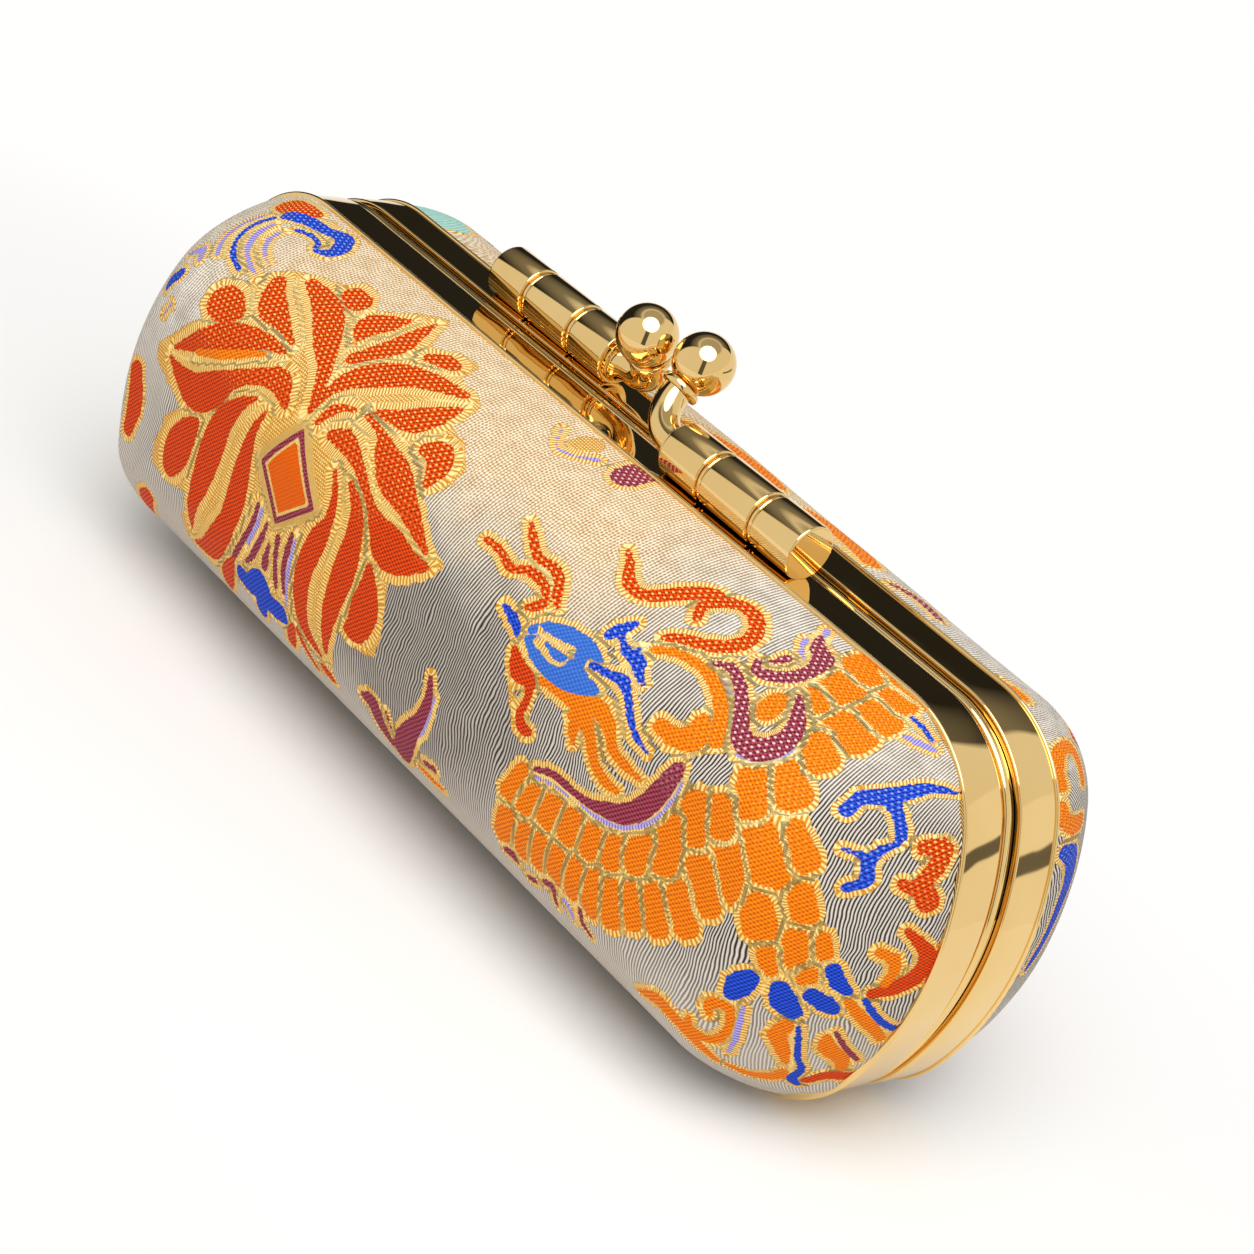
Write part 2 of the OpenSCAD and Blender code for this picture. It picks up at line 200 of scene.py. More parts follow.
class Graph:
    """A tree of shader nodes, which are all added through the same method."""

    def __init__(self, tree):
        self.tree = tree

    def node(self, kind, settings=None, sockets=None, out=0):
        """Adds a node: its settings first, then the values or links of its sockets."""
        made = self.tree.nodes.new(kind)
        for setting, value in (settings or {}).items():
            setattr(made, setting, value)
        for socket, value in (sockets or {}).items():
            self.put(made.inputs[socket], value)
        return Value(self, made.outputs[out])

    def put(self, socket, value):
        if isinstance(value, Value):
            self.tree.links.new(value.socket, socket)
        else:
            socket.default_value = value

    def mix(self, a, b, share):
        """Colour a where share is 0 and colour b where it is 1."""
        return self.node("ShaderNodeMix", {"data_type": "RGBA"}, {0: share, 6: a, 7: b}, out=2)

    def noise(self, vector, scale, detail=2.0, rough=0.5):
        sockets = {"Vector": vector, "Scale": scale, "Detail": detail, "Roughness": rough}
        return self.node("ShaderNodeTexNoise", None, sockets)

    def chance(self, number):
        """A number from -0.5 to 0.5 that differs for every whole number."""
        return self.node("ShaderNodeTexWhiteNoise", {"noise_dimensions": "1D"}, {"W": number}) - 0.5


class Finish(Graph):
    """A material with one Principled shader."""

    def __init__(self, name, **constants):
        self.material = bpy.data.materials.new(name)
        self.material.use_nodes = True
        super().__init__(self.material.node_tree)
        self.shader = self.tree.nodes["Principled BSDF"]
        for socket, value in constants.items():
            self.shader.inputs[socket.replace("_", " ")].default_value = value

    def set(self, **sockets):
        for socket, value in sockets.items():
            self.put(self.shader.inputs[socket.replace("_", " ")], value)

    def place(self):
        """Position on the piece, in metres."""
        return self.node("ShaderNodeTexCoord", out=3)

    def bump(self, height_mm, strength=1.0):
        """Relief whose height is given in millimetres."""
        return self.node("ShaderNodeBump", None, {"Strength": strength, "Distance": MM, "Height": height_mm})


def tint(code, alpha=1.0):
    """A colour code such as e8c88a as linear red, green, blue and alpha."""
    parts = [int(code[k:k + 2], 16) / 255 for k in (0, 2, 4)]
    linear = [p / 12.92 if p <= 0.04045 else ((p + 0.055) / 1.055) ** 2.4 for p in parts]
    return (*linear, alpha)


def gilt(name, wave_mm, waves_per_m):
    """Light gold plating over brass, with waves of the given height left by the polishing."""
    finish = Finish(name, Metallic=1.0)
    haze = finish.noise(finish.place(), 70, 2)
    finish.set(
        Base_Color=finish.mix(tint("e6bf78"), tint("f3d596"), haze),
        Roughness=haze * 0.05 + 0.02,
        Normal=finish.bump(finish.noise(finish.place(), waves_per_m, 1) * wave_mm),
    )
    return finish


gold = gilt("polished_gilt_sheet", 0.17, 120)

# The profile of a band, as places of (inset, distance from the seam): a half round lip, a
# quarter round bevel and a straight inside.
lip_turn = np.linspace(0, math.pi, 13)
lip = np.stack([-LIP_H * np.sin(lip_turn), EDGE_D - LIP_W / 2 + LIP_W / 2 * np.cos(lip_turn)], 1)
bevel_turn = np.linspace(0, math.pi / 2, 6)
bevel = np.stack([
    EDGE_BEVEL * (1 - np.cos(bevel_turn)),
    SEAM_D + EDGE_BEVEL * (1 - np.sin(bevel_turn)),
], 1)
inside = np.array([[SHEET_T, SEAM_D], [SHEET_T, EDGE_D]])
band_profile = np.concatenate([lip, bevel, inside])
for half, side in (("front", -1), ("back", 1)):
    band = piece_from_grid(f"{half}_gilt_band", rings(band_profile, OUTLINE_POINTS, side), close_rows=True)
    band.data.materials.append(gold.material)
    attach(band, f"{half}_half")
    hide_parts(f"{half}_band")

# A thin rolled bead closes the channel between the bands when the case is shut.
# It is soldered to the front band by a flange, and a tongue centres the back band on it.
# It is cut away where the two hinges sit, so it is made in two stretches.
ring_low, ring_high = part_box("seam_ring")
SEAT = 0.04
BEAD_R = 0.6
FLANGE_W = -ring_low.y / MM - SEAM_D
TONGUE_TIP = ring_high.y / MM
TONGUE_CLEAR = 0.35
TONGUE_T = 0.5
HINGE_NOTCH = 0.3
bead_turn = np.linspace(0, math.pi, 13)
bead = np.stack([SHEET_T + SEAT - BEAD_R * np.sin(bead_turn), BEAD_R * np.cos(bead_turn)], 1)
floor_inset = SHEET_T + SEAT
tongue_inset = SHEET_T + TONGUE_CLEAR
ring_profile = np.concatenate([
    [[floor_inset, SEAM_D + FLANGE_W]], bead,
    [[floor_inset, -SEAM_D + EDGE_BEVEL], [tongue_inset, -SEAM_D], [tongue_inset, -TONGUE_TIP]],
    [[tongue_inset + TONGUE_T, -TONGUE_TIP], [tongue_inset + TONGUE_T, SEAM_D + FLANGE_W]],
])
hinge_low, hinge_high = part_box("hinge_front_leaf_right")
ring_grid = rings(ring_profile, OUTLINE_POINTS)
HINGE_FROM = hinge_low.x / MM - HINGE_NOTCH
HINGE_TO = hinge_high.x / MM + HINGE_NOTCH
outline_x, outline_z = outline(OUTLINE_POINTS)[0].T
covered = (outline_z < 0) & (np.abs(outline_x) > HINGE_FROM) & (np.abs(outline_x) < HINGE_TO)
runs = np.flatnonzero(np.diff(np.concatenate([[0], covered.astype(int)])))
first_from, first_to, last_from, last_to = runs
stretches = {
    "seam_bead_bottom": np.arange(first_to, last_from),
    "seam_bead_round": np.arange(last_to, first_from + OUTLINE_POINTS) % OUTLINE_POINTS,
}
for name, columns in stretches.items():
    grid = ring_grid[:, columns]
    middle = np.broadcast_to(grid[:, [0, -1]].mean(0), (len(grid), 2, 3))
    grid = np.concatenate([middle[:, :1], grid, middle[:, 1:]], 1)
    bead_piece = piece_from_grid(name, grid, close_rows=True, close_columns=False)
    bead_piece.data.materials.append(gold.material)
    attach(bead_piece, "front_half")
    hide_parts("seam_ring")

# Two strip hinges of drawn brass sit in the bottom of the channel, with a pin each. Their
# leaves are soldered to the bands. They stay matt, as bought, because they hardly show.
hinge_brass = Finish("drawn_brass", Metallic=1.0)
DRAWN_SCALE = (90, 1400, 1400)
drawn = hinge_brass.node("ShaderNodeMapping", None, {"Vector": hinge_brass.place(), "Scale": DRAWN_SCALE})
drawing = hinge_brass.noise(drawn, 1, 4)
hinge_brass.set(
    Base_Color=hinge_brass.mix(tint("b98f4c"), tint("dcb56c"), drawing),
    Roughness=drawing * 0.2 + 0.22,
    Normal=hinge_brass.bump(drawing * 0.004),
)


def refinish(node, finish):
    """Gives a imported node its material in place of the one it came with."""
    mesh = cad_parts[node].data
    mesh.materials.clear()
    mesh.materials.append(finish.material)


for hinge_name in ("left", "right"):
    for hinge_part in ("front_leaf", "back_leaf"):
        refinish(f"hinge_{hinge_part}_{hinge_name}", hinge_brass)
    refinish(f"hinge_pin_{hinge_name}", hinge_brass)

# The clasp's barrels are turned from brass bar, gilt, and threaded on a rod with a thin
# ring between each two. A flat on each barrel is soldered to the top of its band.
TURN_POINTS = 96
CHAMFER = 0.3
BAND_TOP = MID_Z + HALF_H
turned_gold = gilt("turned_gilt_brass", 0.012, 160)


def turned(profile, centre):
    """A profile of (place along X, radius) turned round an axis through the centre."""
    around = np.linspace(0, math.tau, TURN_POINTS, endpoint=False)
    profile = np.asarray(profile, float)
    x = np.broadcast_to(profile[:, :1], (len(profile), TURN_POINTS))
    y = profile[:, 1:] * np.cos(around)
    z = profile[:, 1:] * np.sin(around)
    return np.stack([x, y, z], -1) + np.asarray(centre, float)


def barrel_profile(start, stop, radius):
    """A barrel from one flat end to the other, with a quarter round of the chamfer at each."""
    a = np.linspace(0, math.pi / 2, 6)
    inwards, below = CHAMFER * (1 - np.cos(a)), CHAMFER * (1 - np.sin(a))
    first = np.stack([start + inwards, radius - below], 1)
    last = np.stack([stop - inwards, radius - below], 1)[::-1]
    return np.concatenate([[(start, 0)], first, last, [(stop, 0)]])


for half in ("front", "back"):
    for part in ("barrel_inner", "barrel_middle", "barrel_outer", "ring_inner", "ring_outer"):
        node = f"{half}_clasp_{part}"
        low, high = (np.array(corner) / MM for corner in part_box(node))
        radius = (high[1] - low[1]) / 2
        centre = (0, (high[1] + low[1]) / 2, high[2] - radius)
        if part.startswith("ring"):
            bow = (high[0] - low[0]) / 2
            rim_turn = np.linspace(0, math.pi, 13)
            rim = np.stack([low[0] + bow - bow * np.cos(rim_turn), radius - bow + bow * np.sin(rim_turn)], 1)
            profile = np.concatenate([[(low[0], 0)], rim, [(high[0], 0)]])
        else:
            profile = barrel_profile(low[0], high[0], radius)
        grid = turned(profile, centre)
        grid[..., 2] = np.maximum(grid[..., 2], BAND_TOP)
        barrel = piece_from_grid(f"{half}_turned_{part}", grid)
        barrel.data.materials.append(turned_gold.material)
        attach(barrel, f"{half}_half")
        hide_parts(node)
    refinish(f"{half}_clasp_rod", hinge_brass)

# A cast arm leaves each stack through a domed flange, bends up over the seam and carries
# a collar and a ball. Pressed together, the two balls snap past each other and hold.
ARM_LEAN = math.radians(35)
ARM_R = 1.9
ARM_POINTS = 48
FOOT_R = 2.9
FOOT_T = 0.45
FOOT_BEVEL = 0.1
ROOT_SHARE = 0.8
COLLAR_R = 2.6
COLLAR_T = 1.0
COLLAR_POINTS = 64
BALL_SEAT_SHARE = 0.65
BALL_POINTS = 96


def leaned(points, half, axis_y, axis_z):
    """Local points, with X along the barrels, leaned over the seam and set on their barrel axis."""
    x, y, z = np.moveaxis(points, -1, 0)
    over = y * math.cos(ARM_LEAN) + z * math.sin(ARM_LEAN)
    up = z * math.cos(ARM_LEAN) - y * math.sin(ARM_LEAN)
    side = 1 if half == "front" else -1
    return np.stack([side * x, side * (over - axis_y), up + axis_z], -1)


for half in ("front", "back"):
    side = 1 if half == "front" else -1
    low, high = (np.array(corner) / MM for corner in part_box(f"{half}_clasp_barrel_inner"))
    barrel_r = (high[1] - low[1]) / 2
    axis_y = abs(high[1] + low[1]) / 2
    axis_z = high[2] - barrel_r
    stack_x = min(abs(low[0]), abs(high[0]))
    low, high = (np.array(corner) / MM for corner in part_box(f"{half}_clasp_ball"))
    ball_r = (high[0] - low[0]) / 2
    ball_at = (low + high) / 2
    ball_x = side * ball_at[0]
    rise = (ball_at[2] - axis_z) / math.cos(ARM_LEAN)
    bend_r = rise - ball_r - BALL_SEAT_SHARE * COLLAR_T

    # The arm is a circle carried along a straight run and a quarter bend. Its radius shrinks
    # from the flange over a quarter round root, and both ends close on the middle.
    run = stack_x - SEAT - ball_x - bend_r
    root_l = ROOT_SHARE * (run - FOOT_T)
    root_turn = np.linspace(0, math.pi / 2, 9)
    root = np.stack([
        FOOT_T + root_l * (1 - np.cos(root_turn)),
        ARM_R + (FOOT_R - ARM_R) * (1 - np.sin(root_turn)),
    ], 1)
    foot = [(0, 0), (0, FOOT_R - FOOT_BEVEL), (FOOT_BEVEL, FOOT_R), (FOOT_T - FOOT_BEVEL, FOOT_R)]
    bend_to = run + bend_r * math.pi / 2
    tube = [(s, ARM_R) for s in np.linspace(run, bend_to, 28)]
    stations = np.concatenate([foot, root, tube, [(bend_to, 0)]])
    straight = np.minimum(stations[:, 0], run)
    phi = np.clip(stations[:, 0] - run, 0, None) / bend_r
    centre = np.stack([
        stack_x - SEAT - straight - bend_r * np.sin(phi), 0 * phi, bend_r * (1 - np.cos(phi)),
    ], 1)
    around = np.linspace(0, math.tau, ARM_POINTS, endpoint=False)
    across = np.stack([np.sin(phi), 0 * phi, np.cos(phi)], 1)
    grid = centre[:, None] + stations[:, 1, None, None] * (
        np.cos(around)[None, :, None] * across[:, None]
        + np.sin(around)[None, :, None] * np.array([0, 1, 0])
    )
    arm = piece_from_grid(f"{half}_clasp_curved_arm", leaned(grid, half, axis_y, axis_z))

    # The collar is a ring with a round edge, turned round the upright through the ball, and
    # its top is a hollow of the ball's own radius.
    cup_r = ball_r + SEAT
    cup_z = rise - bend_r - SEAT
    cup_edge = math.sqrt(cup_r ** 2 - (cup_z - COLLAR_T) ** 2)
    cup_radii = np.linspace(cup_edge, 0, 8)
    edge_turn = np.linspace(0, math.pi, 9)
    rim = np.stack([
        COLLAR_R - COLLAR_T / 4 + COLLAR_T / 4 * np.sin(edge_turn),
        COLLAR_T / 2 - COLLAR_T / 2 * np.cos(edge_turn),
    ], 1)
    cup = np.stack([cup_radii, cup_z - np.sqrt(cup_r ** 2 - cup_radii ** 2)], 1)
    profile = np.concatenate([[(0, 0)], rim, cup])
    around = np.linspace(0, math.tau, COLLAR_POINTS, endpoint=False)
    grid = np.stack([
        ball_x + profile[:, :1] * np.cos(around),
        profile[:, :1] * np.sin(around),
        np.broadcast_to(bend_r + SEAT + profile[:, 1:], (len(profile), COLLAR_POINTS)),
    ], -1)
    collar = piece_from_grid(f"{half}_clasp_turned_collar", leaned(grid, half, axis_y, axis_z))

    # The ball is half a circle turned round its upright.
    polar = np.linspace(0, math.pi, BALL_POINTS // 2 + 1)[:, None]
    around = np.linspace(0, math.tau, BALL_POINTS, endpoint=False)
    grid = ball_at + ball_r * np.stack([
        np.sin(polar) * np.cos(around), np.sin(polar) * np.sin(around), np.cos(polar) + 0 * around,
    ], -1)
    ball = piece_from_grid(f"{half}_clasp_polished_ball", grid)
    for made, part in ((arm, "arm"), (collar, "collar"), (ball, "ball")):
        made.data.materials.append(turned_gold.material)
        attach(made, f"{half}_half")
        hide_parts(f"{half}_clasp_{part}")

# Each half is a moulded shell, padded and covered with brocade that is tucked into the band.
# All its layers have one form, a deep rounded dome with soft corners, one inside the other.
CLOTH_T = 0.5
WAD_T = 1.5
SHELL_T = 1.4
LINING_T = 0.7
ROLL_OVER = 0.5
FACE_N = 2.7
SIDE_N = 1.3
INSET_SHARE = 0.9
cover_low, cover_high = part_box("front_cover")
RIM_D = -cover_high.y / MM
DOME_D = -cover_low.y / MM - EDGE_D - 2 * SEAT
TUCK_I = SHEET_T + SEAT
SHELL_I = TUCK_I + CLOTH_T + SEAT
LINING_I = SHELL_I + SHELL_T + SEAT
INNER_I = LINING_I + LINING_T
COVER_I = SHEET_T - ROLL_OVER
WAD_I = COVER_I + CLOTH_T + SEAT
WAD_D = DOME_D - CLOTH_T - SEAT
SHELL_D = WAD_D - WAD_T - SEAT
LINING_D = SHELL_D - SHELL_T - SEAT
PLATEAU = 1 - INSET_SHARE * (CORNER_R - INNER_I) / (HALF_H - INNER_I)
SPINE_SHARE = 0.2
SPINE = CORNER_X - CORNER_R * SPINE_SHARE
BACK_SWELL = 0.2
TOP_SWELL = 0.75
TOP_SWELL_LEAST = 0.25
TOP_SWELL_FALL = 1 / 120


def dome(inset, depth, side_rows, crown_rows, count, fullness=0):
    """Points of one dome from its rim to its crown, as (x, distance, z from the middle), and the
    cloth place of each: where it comes to lie when the dome is smoothed out flat in its plane.
    The outline first moves inwards evenly, then closes on a line along the middle. fullness,
    one number for each point of the outline, makes the dome swell more next to its rim."""
    points, normals = outline(count)
    reach = HALF_H - inset
    rise = lambda k: depth * (1 - k ** FACE_N) ** (1 / SIDE_N)
    k = 1 - np.linspace(0, 1, side_rows) ** 2 * (1 - PLATEAU)
    along = np.concatenate([[0], np.cumsum(np.hypot(np.diff((1 - k) * reach), np.diff(rise(k))))])
    flat = points[None] - (inset + (1 - k) * reach)[:, None, None] * normals[None]
    swollen = SIDE_N + np.broadcast_to(fullness, count) * ((k - PLATEAU) / (1 - PLATEAU))[:, None]
    away_d = EDGE_D + depth * (1 - k[:, None] ** FACE_N) ** (1 / swollen)
    inner = flat[-1]
    cloth = inner[None] + (along[-1] - along)[:, None, None] * normals[None]
    radius = np.hypot(*inner.T)
    angle = np.unwrap(np.arctan2(inner[:, 1], inner[:, 0]))
    core = np.stack([np.clip(inner[:, 0], -SPINE, SPINE), 0 * inner[:, 1]], 1)
    shrink = np.linspace(1, 0, crown_rows + 1)[1:, None, None]
    crown = core[None] + (inner - core)[None] * shrink
    crown_angle = np.arctan2(crown[..., 1], crown[..., 0]) % math.tau
    order = np.argsort(angle % math.tau)
    edge = np.interp(crown_angle, (angle % math.tau)[order], radius[order], period=math.tau)
    scale = np.hypot(crown[..., 0], crown[..., 1]) / edge
    crown_d = EDGE_D + rise(PLATEAU * scale)
    place = np.concatenate([flat, crown])
    distance = np.concatenate([away_d, crown_d])
    return np.stack([place[..., 0], distance, place[..., 1]], -1), np.concatenate([cloth, crown])


def padding(half, count):
    """How much more than its shell the wadding swells next to the rim. In the back half that is
    a little all round and most along the top, falling off to the right."""
    points, normals = outline(count)
    share = np.clip(TOP_SWELL - points[:, 0] * TOP_SWELL_FALL, TOP_SWELL_LEAST, 1)
    top = np.clip(normals[:, 1], 0, None) ** 2 * share
    return 0 * top if half == "front" else BACK_SWELL + top


def cup(name, half, outer, inner, rim, rows, count, swell=(0, 0), shape=None, marks=None):
    """A cup between an outer and an inner dome, each (inset, depth), whose straight rim reaches
    into the band: rim is (inset outside, inset inside, distance). rows holds the numbers of
    rows on the outer side, the outer crown, the inner side and the inner crown. swell is how
    much of the half's padding each of the two walls follows. marks are the outer dome's
    numbers, and the rim and the inner wall repeat those at its edge."""
    points, normals = outline(count)
    side = -1 if half == "front" else 1
    walls = []
    both = ((outer, rim[0], rows[:2], swell[0]), (inner, rim[1], rows[2:], swell[1]))
    for (inset, depth), rim_inset, wall_rows, follows in both:
        surface, cloth = dome(inset, depth, *wall_rows, count, padding(half, count) * follows)
        surface = surface if shape is None else shape(surface, cloth, normals)
        edge = points - rim_inset * normals
        straight = [np.stack([edge[:, 0], np.full(count, d), edge[:, 1]], -1) for d in (rim[2], EDGE_D)]
        walls.append(np.concatenate([straight, surface]))
    grid = np.concatenate([walls[1][::-1], walls[0]])
    grid = np.stack([grid[..., 0], side * grid[..., 1], MID_Z + grid[..., 2]], -1)
    all_marks = {}
    for mark, values in (marks or {}).items():
        turned_in = np.repeat(values[:1], len(walls[1]) + 2, 0)
        all_marks[mark] = np.concatenate([turned_in, values])
    return piece_from_grid(name, grid, marks=all_marks)


